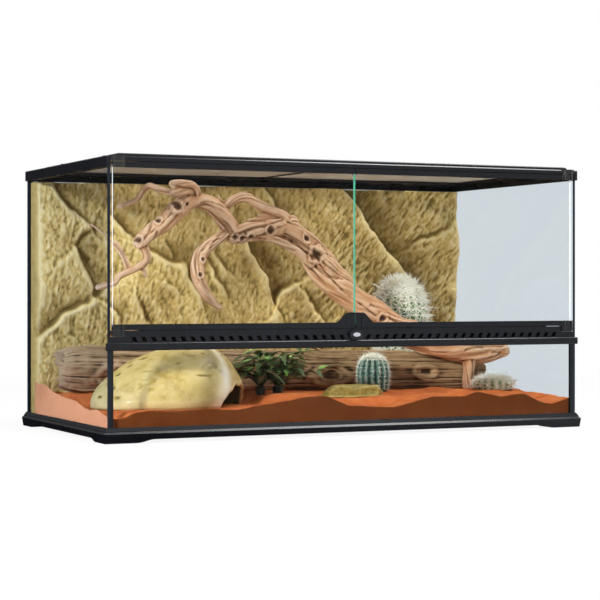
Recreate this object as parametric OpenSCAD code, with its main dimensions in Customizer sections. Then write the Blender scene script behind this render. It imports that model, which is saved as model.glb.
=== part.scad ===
// Front-opening glass terrarium with twin doors, screen lid and desert fit-out.
// Millimetres. Origin at the centre of the footprint, on the table; +Z up, doors towards -Y.

/* [Glass box] */
// Outside width of the glass box
glass_w = 900; // [900:10:1100]
// Outside depth of the glass box
glass_d = 450; // [450:10:560]
// Height of the side and rear panes' top edge above the table
pane_top = 455; // [455:5:600]
// Thickness of the floor, side, rear and lower front panes
pane_t = 5; // [4:0.5:6]
// Thickness of the door panes
door_t = 4; // [3:0.5:4.5]
// Width of the silicone joint between two panes
seam_w = 5.5; // [3:0.5:8]

/* [Base frame] */
// Height of the base frame
base_h = 25.5; // [22:0.5:40]
// How far the base frame stands out past the glass
base_out = 8; // [6:0.5:14]
// Height of the shoulder where the frame's sloping top starts
base_shoulder = 15.2; // [12:0.2:16]
// Height of the floor pane's underside above the table
floor_z = 15; // [12:0.5:16]
// Width of the ledge that carries the panes
ledge_w = 24; // [16:1:40]
// Height of the arches between the feet
arch_h = 5.5; // [3:0.5:8]
// Length of each foot along the front and rear
foot_len = 57; // [40:1:80]
// Length of each foot along the sides
side_foot_len = 52; // [40:1:80]

/* [Front] */
// Height of the lower front sill's underside
sill_z = 151; // [140:1:160]
// Height of the sill band
sill_h = 12.4; // [10:0.2:16]
// How far the sill stands out in front of the glass
sill_out = 4.5; // [3:0.5:7]
// Height of the vent strip above the sill
vent_h = 20.2; // [19.6:0.2:24]
// How far the vent strip stands out in front of the glass
vent_out = 1.5; // [1.2:0.1:2.5]
// Number of vent slots on each side of the lock
vent_slots = 23; // [10:1:23]
// Distance from one vent slot to the next
slot_pitch = 17.2; // [14:0.2:17.4]
// Width of a vent slot
slot_w = 7.4; // [4:0.2:9]
// Height of a vent slot
slot_h = 8; // [4:0.5:10]
// How far a vent slot leans over its height
slot_lean = 4; // [0:0.5:5]

/* [Doors] */
// Gap between the two doors
door_gap = 1.5; // [1:0.1:3]
// Gap between a door's outer edge and the side pane's outer face
door_inset = 9.5; // [9:0.5:12]
// Height of a door's top and bottom rail
rail_h = 9.4; // [9:0.1:12]
// Running gap above and below the doors
door_play = 0.8; // [0.5:0.1:1.5]
// Distance from the side pane's outer face to the hinge axis
hinge_inset = 17; // [16:0.5:20]
// Diameter of the hinge pins
pin_d = 4; // [3:0.2:4.4]
// Height of the pull tab above the bottom rail
tab_h = 17.2; // [10:0.2:24]
// Width of the pull tab at its foot, over both doors
tab_w = 77; // [60:1:100]
// Width of the pull tab's flat top, over both doors
tab_top_w = 30; // [26:1:50]

/* [Lock] */
// Width of the lock's oval knob
knob_w = 27.6; // [24:0.2:30]
// Height of the lock's oval knob
knob_h = 16.4; // [15:0.2:18]
// How far the knob stands out from the vent strip
knob_out = 6; // [5.4:0.1:7]
// Diameter of the knob's shaft
shaft_d = 8; // [6:0.5:10]

/* [Top frame and lid] */
// How far the top frame stands out past the glass
top_out = 3; // [2.4:0.2:6]
// Height of the top frame's outer band
top_h = 18.3; // [18:0.3:24]
// Depth of the lid's recess below the band's top edge
lid_recess = 5; // [4.6:0.2:6]
// Height of the lid frame
lid_h = 10.3; // [9:0.1:14]
// Distance from the front glass plane to the lid's front edge
lid_front = 3; // [2.8:0.1:4]
// Depth of the shelf behind the lid, which holds the cable inlets
shelf_d = 50; // [46:1:90]
// Distance from the glass box's side to the lid's edge
lid_side = 15; // [14:0.5:20]
// Width of the lid frame's bars
lid_bar = 17; // [17:0.5:24]
// Width of the lid's middle bar
lid_mid = 12; // [8:1:20]
// Fields across each lid screen
mesh_nx = 18; // [8:1:20]
// Fields along each lid screen
mesh_ny = 15; // [8:1:15]
// Width of a raised bar between two fields of a lid screen
mesh_bar = 1.5; // [1:0.1:3]
// How far a lid clip slides
clip_travel = 4; // [3:0.1:4]
// Width of a cable inlet
inlet_w = 22; // [14:1:24]

/* [Fit-out] */
// Thickness of the moulded background where it is flat
foam_t = 25; // [20:1:30]
// Height of the background's top edge below the panes' top edge
foam_drop = 7; // [6:1:20]
// Wall of the hide
cave_wall = 5; // [3:0.5:8]
// Height of the hide above the sand
cave_h = 104; // [80:1:120]
// Radius of the log at its thick end
log_r = 46; // [36:1:46]
// Thickness of the basking stone
stone_h = 22; // [14:1:30]
// Height of the small barrel cactus
small_cactus_h = 68; // [50:1:90]
// Radius of the small barrel cactus
small_cactus_r = 31; // [26:1:38]
// Height of the large barrel cactus
large_cactus_h = 206; // [160:1:210]
// Radius of the large barrel cactus at the crown
large_cactus_r = 50; // [40:1:52]
// Height of the low cactus
low_cactus_h = 24; // [20:1:40]
// Radius of the low cactus
low_cactus_r = 38; // [30:1:40]
// Number of leaves on the plant
leaf_count = 22; // [12:1:30]

/* [Hidden] */

// Clearances
bond_gap = 0.5;        // silicone film between panes and around the floor pane
channel_gap = 0.3;     // panes in the frames' channels
seat_gap = 0.2;        // moulded blocks in their notches
running_gap = 0.08;    // radial, pins and shaft in their bearings
fixed_gap = 0.02;      // radial, pins and screw in the pieces that hold them
slide_gap = 0.3;       // sliding clips and shutters
lid_gap = 0.5;         // lid in its recess
overcut = 1;           // cutters run this far past the faces they cut

// Glass box
half_w = glass_w / 2;
half_d = glass_d / 2;
inner_x = half_w - pane_t;
inner_y = half_d - pane_t;
floor_top = floor_z + pane_t;

// Front stack, from the sill up
sill_top = sill_z + sill_h;
vent_top = sill_top + vent_h;
door_z0 = vent_top + door_play;
top_z0 = pane_top - 5;               // the top frame laps the panes by 5
door_z1 = top_z0 + rail_h + 0.1;
band_z0 = door_z1 + door_play;       // underside of the frame's front band and lid ledge
top_z1 = top_z0 + top_h;
lid_z0 = top_z1 - lid_recess;
lid_z1 = lid_z0 + lid_h;
strip_back = -half_d + 9;            // rear edge of the sill and vent strip
strip_wall = 2;

// Doors
door_y = -half_d + pane_t / 2;       // hinge axis and middle plane of the door panes
rail_front = door_y - 5;
rail_back = door_y + 4.5;
door_x0 = half_w - door_inset;
hinge_x = half_w - hinge_inset;
block_out = hinge_inset - pane_t - seat_gap;   // hinge bearing, outwards from the axis
block_in = 13;                       // hinge bearing, inwards from the axis
door_block_in = 13.5;                // hinge block on the door, inwards from the axis
groove_depth = 4.5;                  // door pane in its rails
rib_r = 2;                           // rounded ribs on the hinge blocks
rib_x = 7.5;
swing_y = -half_d + 17;              // nothing low hangs in front of this line, where the doors' heels swing
bearing_depth = 10.2;                // depth of the lower bearing below the door
stop_x = hinge_x - 40;               // the doors close against low stops that end short of their heels
stop_lap = 1.6;

// Lock
lock_z = sill_top + 9.6;
cam_reach = door_z0 - lock_z + 3.4;
cam_w = 7;
cam_y0 = -half_d + 1.4;
cam_t = 2.7;
cam_slot_x = cam_reach - 1.2;
neck_d = 14;                         // round neck behind the knob's oval face

// Top frame and lid
top_x = half_w + top_out;
top_y = half_d + top_out;
lip_t = 2.4;                         // inner lip of the pane channels
lid_x = half_w - lid_side;
lid_y0 = -half_d + lid_front;
lid_y1 = inner_y - shelf_d;
lid_d = lid_y1 - lid_y0;
seat_w = 15;                         // ledge under the lid
mesh_z = lid_z0 + 1.6;
mesh_t = 1.2;
cloth_t = 0.4;                       // wire cloth between the bars, drawn closed: its real openings are about 1 mm
mesh_edge = 4;                       // mesh border held under the lid's rebate
clip_z = lid_z0 + 1.1;
clip_t = 2.4;
clip_w = 14;
clip_len = 12.8;
thumb_x = 9.5;                       // thumb pad, in from the lid's edge
thumb_w = 4;
clip_inset = 80;                     // middle of a lid clip, in from the lid's front or rear edge
clip_y = [lid_y0 + clip_inset + 2, lid_y1 - clip_inset];
inlet_x = [half_w - 110, half_w - 180];
inlet_y = (lid_y1 + inner_y) / 2;
shutter_len = inlet_w + 4;
shutter_travel = inlet_w + 5;
shutter_w = 26.4;
shutter_z = top_z1 - 2.7;
shutter_t = 1.8;
shutter_lip = 2.2;

// Outlines and solids --------------------------------------------------------

// A closed outline from its right half, mirrored about x = 0
function mirrored(pts) = concat(pts, [for (i = [len(pts) - 1:-1:0]) [-pts[i][0], pts[i][1]]]);
function ease(t) = (1 - cos(180 * min(1, max(0, t)))) / 2;
function mix(a, b, t) = a + (b - a) * t;

module along_x(length) rotate([90, 0, 90]) linear_extrude(length, center = true) children();
module along_y(length) rotate([90, 0, 0]) linear_extrude(length, center = true) children();
module along_y_at(y0, y1) translate([0, (y0 + y1) / 2, 0]) along_y(y1 - y0) children();
module box(low, high) translate(low) cube(high - low);
module both_sides() { children(); mirror([1, 0, 0]) children(); }

// A closed skin over rings of points, all with the same count, capped at both ends
module skin(rings) {
    n = len(rings[0]);
    last = len(rings) - 1;
    points = [for (ring = rings, p = ring) p];
    faces = concat(
        [[for (j = [0:n - 1]) j]],
        [[for (j = [n - 1:-1:0]) last * n + j]],
        [for (i = [0:last - 1], j = [0:n - 1]) [i * n + j, (i + 1) * n + j, (i + 1) * n + (j + 1) % n]],
        [for (i = [0:last - 1], j = [0:n - 1]) [i * n + j, (i + 1) * n + (j + 1) % n, i * n + (j + 1) % n]]);
    polyhedron(points, faces);
}

// Base -----------------------------------------------------------------------

function base_side(glass_half) = [
    [glass_half + base_out - 2, 0],
    [glass_half + base_out, base_shoulder],
    [glass_half + base_out - 3, base_shoulder + 3.3],
    [glass_half + base_out - 3, base_shoulder + 4.3],
    [glass_half + 1.5, base_h]];

// Opening under a side of the base, between two feet with flowing ends
module arch(half_length, ramp) {
    steps = 8;
    polygon(concat([[half_length, -overcut]],
        mirrored([for (i = [0:steps]) [half_length - ramp * i / steps, arch_h * ease(i / steps)]]),
        [[-half_length, -overcut]]));
}

module bottom_frame() color([0.09, 0.09, 0.11]) difference() {
    intersection() {
        along_x(2 * (half_w + base_out)) polygon(mirrored(base_side(half_d)));
        along_y(2 * (half_d + base_out)) polygon(mirrored(base_side(half_w)));
    }
    box([-half_w - channel_gap, -half_d - channel_gap, floor_z],
        [half_w + channel_gap, half_d + channel_gap, base_h + overcut]);
    box([-half_w + ledge_w, -half_d + ledge_w, -overcut], [half_w - ledge_w, half_d - ledge_w, floor_z + overcut]);
    along_y(2 * (half_d + base_out) + 2 * overcut) arch(half_w + base_out - foot_len, 32);
    along_x(2 * (half_w + base_out) + 2 * overcut) arch(half_d + base_out - side_foot_len, 20);
}

// Glass ----------------------------------------------------------------------

module pane(low, high) color([0.78, 0.9, 0.88, 0.35]) box(low, high);
module floor_glass() pane([-inner_x + bond_gap, -inner_y + bond_gap, floor_z],
                          [inner_x - bond_gap, inner_y - bond_gap, floor_top]);
module left_glass() pane([-half_w, -half_d, floor_z], [-inner_x, half_d, pane_top]);
module right_glass() pane([inner_x, -half_d, floor_z], [half_w, half_d, pane_top]);
module rear_glass() pane([-inner_x + seam_w, inner_y, floor_z], [inner_x - seam_w, half_d, pane_top]);
module front_lower_glass() pane([-inner_x + seam_w, -half_d, floor_z],
                                [inner_x - seam_w, -inner_y, sill_z + sill_h / 2]);

module silicone_seams() color([0.05, 0.05, 0.06]) both_sides() {
    box([inner_x - seam_w, inner_y, floor_z], [inner_x, half_d, pane_top]);
    box([inner_x - seam_w, -half_d, floor_z], [inner_x, -inner_y, sill_z]);
}

// Lower front ----------------------------------------------------------------

module front_sill() color([0.12, 0.12, 0.14]) {
    difference() {
        along_x(2 * (inner_x - bond_gap)) polygon([
            [-half_d - sill_out + 1, sill_z], [-half_d - sill_out, sill_z + 1.5],
            [-half_d - sill_out, sill_top - 1], [-half_d - sill_out + 1, sill_top],
            [strip_back, sill_top], [strip_back, sill_z]]);
        box([-inner_x, -half_d - seat_gap, sill_z - overcut],
            [inner_x, -inner_y + seat_gap, sill_z + sill_h / 2 + channel_gap]);
    }
    // ends that pass in front of the side panes
    along_x(2 * (half_w + 3)) polygon([
        [-half_d - sill_out + 1, sill_z], [-half_d - sill_out, sill_z + 1.5],
        [-half_d - sill_out, sill_top - 1], [-half_d - sill_out + 1, sill_top],
        [-half_d - channel_gap, sill_top], [-half_d - channel_gap, sill_z]]);
}

module vent_slot(lean) polygon([
    [-slot_w / 2 - lean / 2, 0], [slot_w / 2 - lean / 2, 0],
    [slot_w / 2 + lean / 2, slot_h], [-slot_w / 2 + lean / 2, slot_h]]);

module door_stop(z0, z1) box([-stop_x, strip_back - 1.8, z0], [stop_x, strip_back, z1]);

module bearing_notch(z0, z1) both_sides()
    box([hinge_x - block_in - seat_gap, -half_d - 2 * top_out, z0],
        [hinge_x + block_out + seat_gap, strip_back, z1]);

module vent_strip() color([0.12, 0.12, 0.14]) difference() {
    front = -half_d - vent_out;
    union() {
        along_x(2 * (inner_x - bond_gap)) polygon([
            [front, sill_top], [front, vent_top], [strip_back, vent_top], [strip_back, vent_top - strip_wall],
            [front + strip_wall + 0.5, vent_top - strip_wall], [front + strip_wall + 0.5, sill_top + strip_wall],
            [strip_back, sill_top + strip_wall], [strip_back, sill_top]]);
        box([-half_w + 1, front, sill_top], [half_w - 1, -half_d - channel_gap, vent_top]);
        door_stop(vent_top - 0.1, door_z0 + stop_lap);
    }
    for (side = [-1, 1], i = [0:vent_slots - 1])
        translate([side * (25.4 + i * slot_pitch), front, sill_top + 1.6])
            along_y(4 * strip_wall) vent_slot(side * slot_lean);
    translate([0, front - overcut, lock_z]) rotate([-90, 0, 0])
        cylinder(d = shaft_d + 2 * running_gap, h = strip_wall + 0.5 + 2 * overcut, $fn = 64);
    box([-cam_w / 2 - 0.5, cam_y0 - 0.4, vent_top - strip_wall - overcut],
        [cam_slot_x, cam_y0 + cam_t + 0.4, vent_top + overcut]);
    bearing_notch(vent_top - bearing_depth + 0.6, vent_top + overcut);
}

// Hinges ---------------------------------------------------------------------

module ribs(z0, z1) for (dx = [-rib_x, rib_x])
    translate([-hinge_x + dx, rail_front - 0.5, z0]) cylinder(r = rib_r, h = z1 - z0, $fn = 32);

module pin_hole(z0, z1, gap) translate([-hinge_x, door_y, z0])
    cylinder(d = pin_d + 2 * gap, h = z1 - z0, $fn = 48);

module hinge_bearings() color([0.07, 0.07, 0.08]) {
    // upper bearing, in the top frame's front corner
    difference() {
        union() {
            box([-hinge_x - block_out, rail_front - 1, band_z0], [-hinge_x + block_in, strip_back - 2, lid_z0 - seat_gap]);
            box([-hinge_x - block_out, rail_front - 1, band_z0], [-hinge_x + block_in, lid_y0 - lid_gap, top_z1 + 1]);
            ribs(band_z0, top_z1);
        }
        pin_hole(band_z0 - overcut, lid_z0 - seat_gap - 0.1, running_gap);
    }
    // lower bearing, in the vent strip's end
    difference() {
        low = vent_top - bearing_depth + 0.8;
        high = vent_top + 0.6;
        union() {
            along_y_at(rail_front - 1, strip_back - 2) polygon([
                [-hinge_x - block_out + 4, low], [-hinge_x + block_in, low], [-hinge_x + block_in, high],
                [-hinge_x - block_out, high], [-hinge_x - block_out, low + 4]]);
            ribs(low + 1.5, high);
        }
        pin_hole(low + 1.8, high + overcut, running_gap);
    }
}

module left_hinge_bearings() hinge_bearings();
module right_hinge_bearings() mirror([1, 0, 0]) hinge_bearings();

// Doors, drawn as the left one ----------------------------------------------

glass_z0 = door_z0 + rail_h - groove_depth + 0.7;
glass_z1 = top_z0 + groove_depth;

module glass_groove() box([-half_w, door_y - door_t / 2 - 0.1, glass_z0 - 0.1],
                          [overcut, door_y + door_t / 2 + 0.1, glass_z1 + 0.1]);

module door_glass() color([0.74, 0.9, 0.86, 0.3])
    box([-door_x0, door_y - door_t / 2, glass_z0], [-door_gap / 2, door_y + door_t / 2, glass_z1]);

module door_top_rail() color([0.13, 0.13, 0.15]) difference() {
    box([-hinge_x + door_block_in + seat_gap, rail_front, top_z0], [-door_gap / 2, rail_back, door_z1]);
    glass_groove();
}

// Front plate of the pull tab: a bell whose halves belong to the two doors
module tab_outline() {
    steps = 14;
    foot = (tab_w - tab_top_w) / 2;
    polygon(concat([[-door_gap / 2, 0], [-door_gap / 2, tab_h]],
        [for (i = [0:steps]) [-tab_top_w / 2 - foot * i / steps, tab_h * (1 - ease(pow(i / steps, 0.85)))]]));
}

module door_bottom_rail() color([0.13, 0.13, 0.15]) difference() {
    rail_top = door_z0 + rail_h;
    union() {
        box([-hinge_x + door_block_in + seat_gap, rail_front, door_z0], [-door_gap / 2, rail_back, rail_top]);
        translate([0, 0, rail_top]) along_y_at(rail_front, door_y - door_t / 2 - 0.1) tab_outline();
        // rounded grip rib beside the finger recess
        translate([-14.2, rail_front + 0.1, door_z0 + 1]) cylinder(r = 1.2, h = rail_h + tab_h - 4, $fn = 24);
    }
    glass_groove();
    // finger recess in the tab
    box([-12.5, rail_front - overcut, door_z0 + 2.5], [overcut, rail_front + 1.2, rail_top + tab_h - 2.5]);
    // pocket that the lock's cam rises into
    box([-cam_slot_x, cam_y0 - 0.4, door_z0 - overcut], [overcut, cam_y0 + cam_t + 0.4, lock_z + cam_reach + 0.9]);
}

module door_hinge_blocks() color([0.07, 0.07, 0.08]) difference() {
    union() {
        box([-door_x0, rail_front - 0.3, top_z0], [-hinge_x + door_block_in, rail_back, door_z1]);
        box([-door_x0, rail_front - 0.3, door_z0], [-hinge_x + door_block_in, rail_back, door_z0 + rail_h]);
        ribs(top_z0, door_z1);
        ribs(door_z0, door_z0 + rail_h);
    }
    glass_groove();
    pin_hole(glass_z1 + 1.3, door_z1 + overcut, fixed_gap);
    pin_hole(door_z0 - overcut, glass_z0 - 1.1, fixed_gap);
}

module door_pins() color([0.75, 0.76, 0.78]) {
    pin_hole(glass_z1 + 1.4, lid_z0 - seat_gap - 0.3, 0);
    pin_hole(vent_top - bearing_depth + 3, glass_z0 - 1.2, 0);
}

module left_door_glass() door_glass();
module left_door_top_rail() door_top_rail();
module left_door_bottom_rail() door_bottom_rail();
module left_door_hinge_blocks() door_hinge_blocks();
module left_door_pins() door_pins();
module right_door_glass() mirror([1, 0, 0]) door_glass();
module right_door_top_rail() mirror([1, 0, 0]) door_top_rail();
module right_door_bottom_rail() mirror([1, 0, 0]) door_bottom_rail();
module right_door_hinge_blocks() mirror([1, 0, 0]) door_hinge_blocks();
module right_door_pins() mirror([1, 0, 0]) door_pins();

// Lock -----------------------------------------------------------------------

vent_face = -half_d - vent_out;
knob_face = vent_face - knob_out;

// A turned step on the lock's axis, from y0 back to y1
module turned(d, y0, y1) translate([0, y0, lock_z]) rotate([-90, 0, 0]) cylinder(d = d, h = y1 - y0, $fn = 64);

// An oval plate on the lock's axis, from y0 back to y1
module oval(w, h, y0, y1) translate([0, (y0 + y1) / 2, lock_z]) along_y(y1 - y0)
    polygon([for (a = [0:7.5:352.5]) [w / 2 * cos(a), h / 2 * sin(a)]]);

module lock_collar() color([0.06, 0.06, 0.07]) difference() {
    oval(knob_w - 4, 18.6, vent_face - 1.1, vent_face);
    turned(neck_d + 1, vent_face - 1.1 - overcut, vent_face + overcut);
}

module lock_knob() color([0.1, 0.1, 0.11]) difference() {
    plate_back = -half_d - sill_out - 0.5;
    union() {
        oval(knob_w, knob_h, knob_face + 0.8, plate_back);
        oval(knob_w - 1.8, knob_h - 1.8, knob_face, knob_face + 0.9);
        turned(neck_d, plate_back - 0.1, vent_face - 0.3);
        turned(shaft_d, vent_face - 0.4, cam_y0 - 0.2);
        turned(shaft_d - 2, cam_y0 - 0.3, cam_y0 + cam_t - 0.1);
    }
    // dished face inside a raised rim
    oval(knob_w - 5.4, knob_h - 5.4, knob_face - overcut, knob_face + 0.6);
    turned(3 + 2 * fixed_gap, vent_face + 0.5, cam_y0 + cam_t + overcut);
}

module lock_badge() color([0.82, 0.83, 0.85])
    oval(14, 7, knob_face - 0.1, knob_face + 0.6);

module lock_cam() color([0.6, 0.61, 0.63]) difference() {
    union() {
        turned(12, cam_y0, cam_y0 + cam_t);
        box([0, cam_y0, lock_z - cam_w / 2], [cam_reach, cam_y0 + cam_t, lock_z + cam_w / 2]);
    }
    turned(shaft_d - 2 + 2 * fixed_gap, cam_y0 - overcut, cam_y0 + cam_t + overcut);
}

module lock_screw() color([0.7, 0.71, 0.73]) difference() {
    union() {
        turned(3, vent_face + 0.6, cam_y0 + cam_t);
        turned(7, cam_y0 + cam_t, cam_y0 + cam_t + 1.8);
    }
    for (turn = [0, 90]) translate([0, cam_y0 + cam_t + 1.8, lock_z]) rotate([0, turn, 0]) cube([4, 2, 0.9], center = true);
}

// Top frame ------------------------------------------------------------------

function top_side(half) = [[half, top_z0], [half, top_z1 - 1.5], [half - 1.5, top_z1]];

module top_frame() color([0.12, 0.12, 0.14]) {
    top_moulding();
    door_stop(door_z1 - stop_lap, band_z0 + 0.1);
}

module top_moulding() difference() {
    intersection() {
        along_x(2 * top_x) polygon(mirrored(top_side(top_y)));
        along_y(2 * top_y) polygon(mirrored(top_side(top_x)));
    }
    // channels for the side and rear panes
    both_sides() box([inner_x - channel_gap, -half_d - channel_gap, top_z0 - overcut],
                     [half_w + channel_gap, half_d + channel_gap, pane_top + channel_gap]);
    box([-half_w, inner_y - channel_gap, top_z0 - overcut], [half_w, half_d + channel_gap, pane_top + channel_gap]);
    // room below the lid ledge
    box([-inner_x + channel_gap + lip_t, swing_y - overcut, top_z0 - overcut],
        [inner_x - channel_gap - lip_t, inner_y - channel_gap - lip_t, band_z0]);
    // room for the doors and their heels
    box([-inner_x + channel_gap, -top_y - overcut, top_z0 - overcut], [inner_x - channel_gap, swing_y, band_z0]);
    // lid recess and the opening below it
    box([-lid_x - lid_gap, lid_y0 - lid_gap, lid_z0], [lid_x + lid_gap, lid_y1 + lid_gap, top_z1 + overcut]);
    box([-lid_x + seat_w, lid_y0 + seat_w, band_z0 - overcut], [lid_x - seat_w, lid_y1 - seat_w, top_z1]);
    // pockets for the lid clips
    for (y = clip_y) both_sides()
        box([lid_x, y - clip_w / 2 - slide_gap, clip_z - slide_gap],
            [lid_x + clip_travel + slide_gap, y + clip_w / 2 + slide_gap, clip_z + clip_t + slide_gap]);
    bearing_notch(band_z0 - overcut, top_z1 + 2 * overcut);
    // cable inlets and their shutter tracks
    for (x = inlet_x) both_sides() {
        box([x - inlet_w / 2, inlet_y - inlet_w / 2 + 1, band_z0 - overcut],
            [x + inlet_w / 2, inlet_y + inlet_w / 2 - 1, top_z1 + overcut]);
        track_x0 = x - shutter_travel - shutter_len / 2 - slide_gap;
        track_x1 = x + shutter_len / 2 + slide_gap;
        box([track_x0, inlet_y - shutter_w / 2 - slide_gap, shutter_z],
            [track_x1, inlet_y + shutter_w / 2 + slide_gap, shutter_z + shutter_t + slide_gap]);
        box([track_x0, inlet_y - shutter_w / 2 + shutter_lip, shutter_z],
            [track_x1, inlet_y + shutter_w / 2 - shutter_lip, top_z1 + overcut]);
    }
}

// A cable inlet's shutter, drawn open, beside its hole
module inlet_shutter(x) color([0.16, 0.16, 0.18]) translate([x - shutter_travel, inlet_y, shutter_z]) {
    box([-shutter_len / 2, -shutter_w / 2, 0], [shutter_len / 2, shutter_w / 2, shutter_t]);
    box([-1.5, -8, 0], [1.5, 8, shutter_t + 2]);
}
module inlet_shutter_outer_right() inlet_shutter(inlet_x[0]);
module inlet_shutter_inner_right() inlet_shutter(inlet_x[1]);
module inlet_shutter_outer_left() mirror([1, 0, 0]) inlet_shutter(inlet_x[0]);
module inlet_shutter_inner_left() mirror([1, 0, 0]) inlet_shutter(inlet_x[1]);

// Lid ------------------------------------------------------------------------

// Half outline of the lid in elevation: a square foot and a rounded shoulder
function lid_side_outline(half, r) = concat([[half, lid_z0]],
    [for (a = [0:15:90]) [half - r + r * cos(a), lid_z1 - r + r * sin(a)]]);

window_x1 = lid_x - lid_bar;
window_y0 = lid_y0 + lid_bar;
window_y1 = lid_y1 - lid_bar;
thumb_slot_x1 = thumb_x - thumb_w / 2 - clip_travel - slide_gap;

module lid_frame() color([0.1, 0.1, 0.12]) difference() {
    intersection() {
        along_y_at(lid_y0, lid_y1) polygon(mirrored(lid_side_outline(lid_x, 7)));
        translate([0, (lid_y0 + lid_y1) / 2, 0]) along_x(2 * lid_x) polygon(mirrored(lid_side_outline(lid_d / 2, 2.5)));
    }
    both_sides() {
        box([lid_mid / 2, window_y0, lid_z0 - overcut], [window_x1, window_y1, lid_z1 + overcut]);
        box([lid_mid / 2 - mesh_edge, window_y0 - mesh_edge, lid_z0 - overcut],
            [window_x1 + mesh_edge, window_y1 + mesh_edge, mesh_z + mesh_t]);
        for (y = clip_y) {
            box([lid_x - clip_len - 1, y - clip_w / 2 - slide_gap, clip_z - slide_gap],
                [lid_x + overcut, y + clip_w / 2 + slide_gap, clip_z + clip_t + slide_gap]);
            box([lid_x - thumb_x - thumb_w / 2 - slide_gap, y - 5 - slide_gap, clip_z],
                [lid_x - thumb_slot_x1, y + 5 + slide_gap, lid_z1 + overcut]);
        }
    }
}

// Screen of one lid window: wire cloth with raised bars
module lid_mesh() color([0.45, 0.42, 0.38]) {
    low = [lid_mid / 2 - mesh_edge + seat_gap, window_y0 - mesh_edge + seat_gap];
    size = [window_x1 + mesh_edge - seat_gap, window_y1 + mesh_edge - seat_gap] - low;
    pitch = [(size[0] - mesh_bar) / mesh_nx, (size[1] - mesh_bar) / mesh_ny];
    translate([low[0], low[1], mesh_z]) difference() {
        cube([size[0], size[1], mesh_t]);
        for (i = [0:mesh_nx - 1], j = [0:mesh_ny - 1])
            translate([mesh_bar + i * pitch[0], mesh_bar + j * pitch[1], cloth_t])
                cube([pitch[0] - mesh_bar, pitch[1] - mesh_bar, mesh_t]);
    }
}
module lid_mesh_right() lid_mesh();
module lid_mesh_left() mirror([1, 0, 0]) lid_mesh();

// A lid clip, drawn unlocked, on the right side
module lid_clip(y) color([0.16, 0.16, 0.18]) {
    box([lid_x - clip_len, y - clip_w / 2, clip_z], [lid_x, y + clip_w / 2, clip_z + clip_t]);
    box([lid_x - thumb_x - thumb_w / 2, y - 5, clip_z], [lid_x - thumb_x + thumb_w / 2, y + 5, lid_z1 + 1]);
}
module lid_clip_front_right() lid_clip(clip_y[0]);
module lid_clip_rear_right() lid_clip(clip_y[1]);
module lid_clip_front_left() mirror([1, 0, 0]) lid_clip(clip_y[0]);
module lid_clip_rear_left() mirror([1, 0, 0]) lid_clip(clip_y[1]);

// Moulded background ---------------------------------------------------------

foam_x = inner_x - bond_gap;
foam_back = inner_y - bond_gap;
foam_top = pane_top - foam_drop;
foam_flat_z = 150;                   // below this the background's face is flat
foam_proud = 20;                     // the slabs' highest relief over the flat face
slab_angle = -50;                    // the rock slabs run down to the right
slab_stretch = 1.7;
// Rock slabs: centre x, centre z, rise to the right, rise upwards, face height
slabs = [
    [-420, 400, 0.10, -0.04, 6], [-350, 425, 0.12, 0.02, -2], [-385, 290, 0.09, 0.05, 8], [-330, 330, -0.04, 0.06, -6],
    [-390, 190, 0.05, 0.10, 9], [-270, 405, 0.10, -0.05, 4], [-200, 350, 0.12, -0.03, 9], [-180, 265, 0.08, 0.07, 3],
    [-265, 215, 0.06, 0.09, 8], [-30, 260, 0.14, 0.03, 10], [0, 420, 0.10, 0.00, 3], [60, 330, 0.10, 0.05, -3],
    [85, 225, 0.11, 0.04, 9], [110, 410, 0.14, 0.04, 7], [225, 320, 0.13, 0.05, 11], [325, 385, 0.10, -0.06, 9],
    [395, 260, 0.09, 0.05, 10], [290, 215, 0.05, 0.08, -2], [-90, 165, 0.08, 0.06, 5], [180, 165, 0.07, 0.07, 6]];

function slab_dist(p, s) = let (d = [p[0] - s[0], p[1] - s[1]],
    a = d[0] * cos(slab_angle) + d[1] * sin(slab_angle), b = d[1] * cos(slab_angle) - d[0] * sin(slab_angle))
    pow(a / slab_stretch, 2) + b * b;
function slab_height(p) = let (all = [for (s = slabs) slab_dist(p, s)], near = min(all),
    s = slabs[[for (i = [0:len(slabs) - 1]) if (all[i] == near) i][0]])
    s[4] + s[2] * (p[0] - s[0]) + s[3] * (p[1] - s[1]);
function foam_depth(x, z) = foam_t + ease((z - foam_flat_z) / 35) * min(foam_proud, max(-10, slab_height([x, z])));

module background() color([0.68, 0.6, 0.33]) {
    nx = 46;
    nz = 22;
    skin([for (i = [0:nx]) let (x = -foam_x + 2 * foam_x * i / nx)
        concat([[x, foam_back, floor_top], [x, foam_back, foam_top]],
               [for (j = [nz:-1:0]) let (z = mix(floor_top, foam_top, j / nz)) [x, foam_back - foam_depth(x, z), z]])]);
}

// Sand -----------------------------------------------------------------------

foam_face = inner_y - foam_t;        // flat face of the background, without its bond
log_a = [-inner_x + 21, foam_face - log_r - 7];
log_b = [inner_x - 50, 20];
bed_z = 62;                          // level of the sand round the log and the cacti
cave_rx = 137;
cave_ry = 86;
cave_c = [-inner_x + cave_rx + 8, -inner_y + cave_ry + 24];
cave_z = 50;
stone_c = [50, -inner_y + 120];
stone_z = 58;
small_cactus_c = [133, -35];
large_cactus_c = [inner_x - 172, foam_face - 73];
low_cactus_c = [inner_x - low_cactus_r - 41, -76];
plant_c = [-80, -40];
// The branch's limbs are drawn at their real size; where the box is narrower or shallower, they close up
branch_half_w = 429;                 // farthest reach to a side, with its bark
branch_rear = 169.5;                 // farthest reach to the rear
branch_fit = [(inner_x - 16) / branch_half_w, (foam_face - foam_proud - 5.5) / branch_rear];
root_stub = [[346, -22, 140, 20], [343, -25, 104, 13], [342, -25, 76, 11]];
stub_c = fitted(root_stub[2]);
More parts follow.
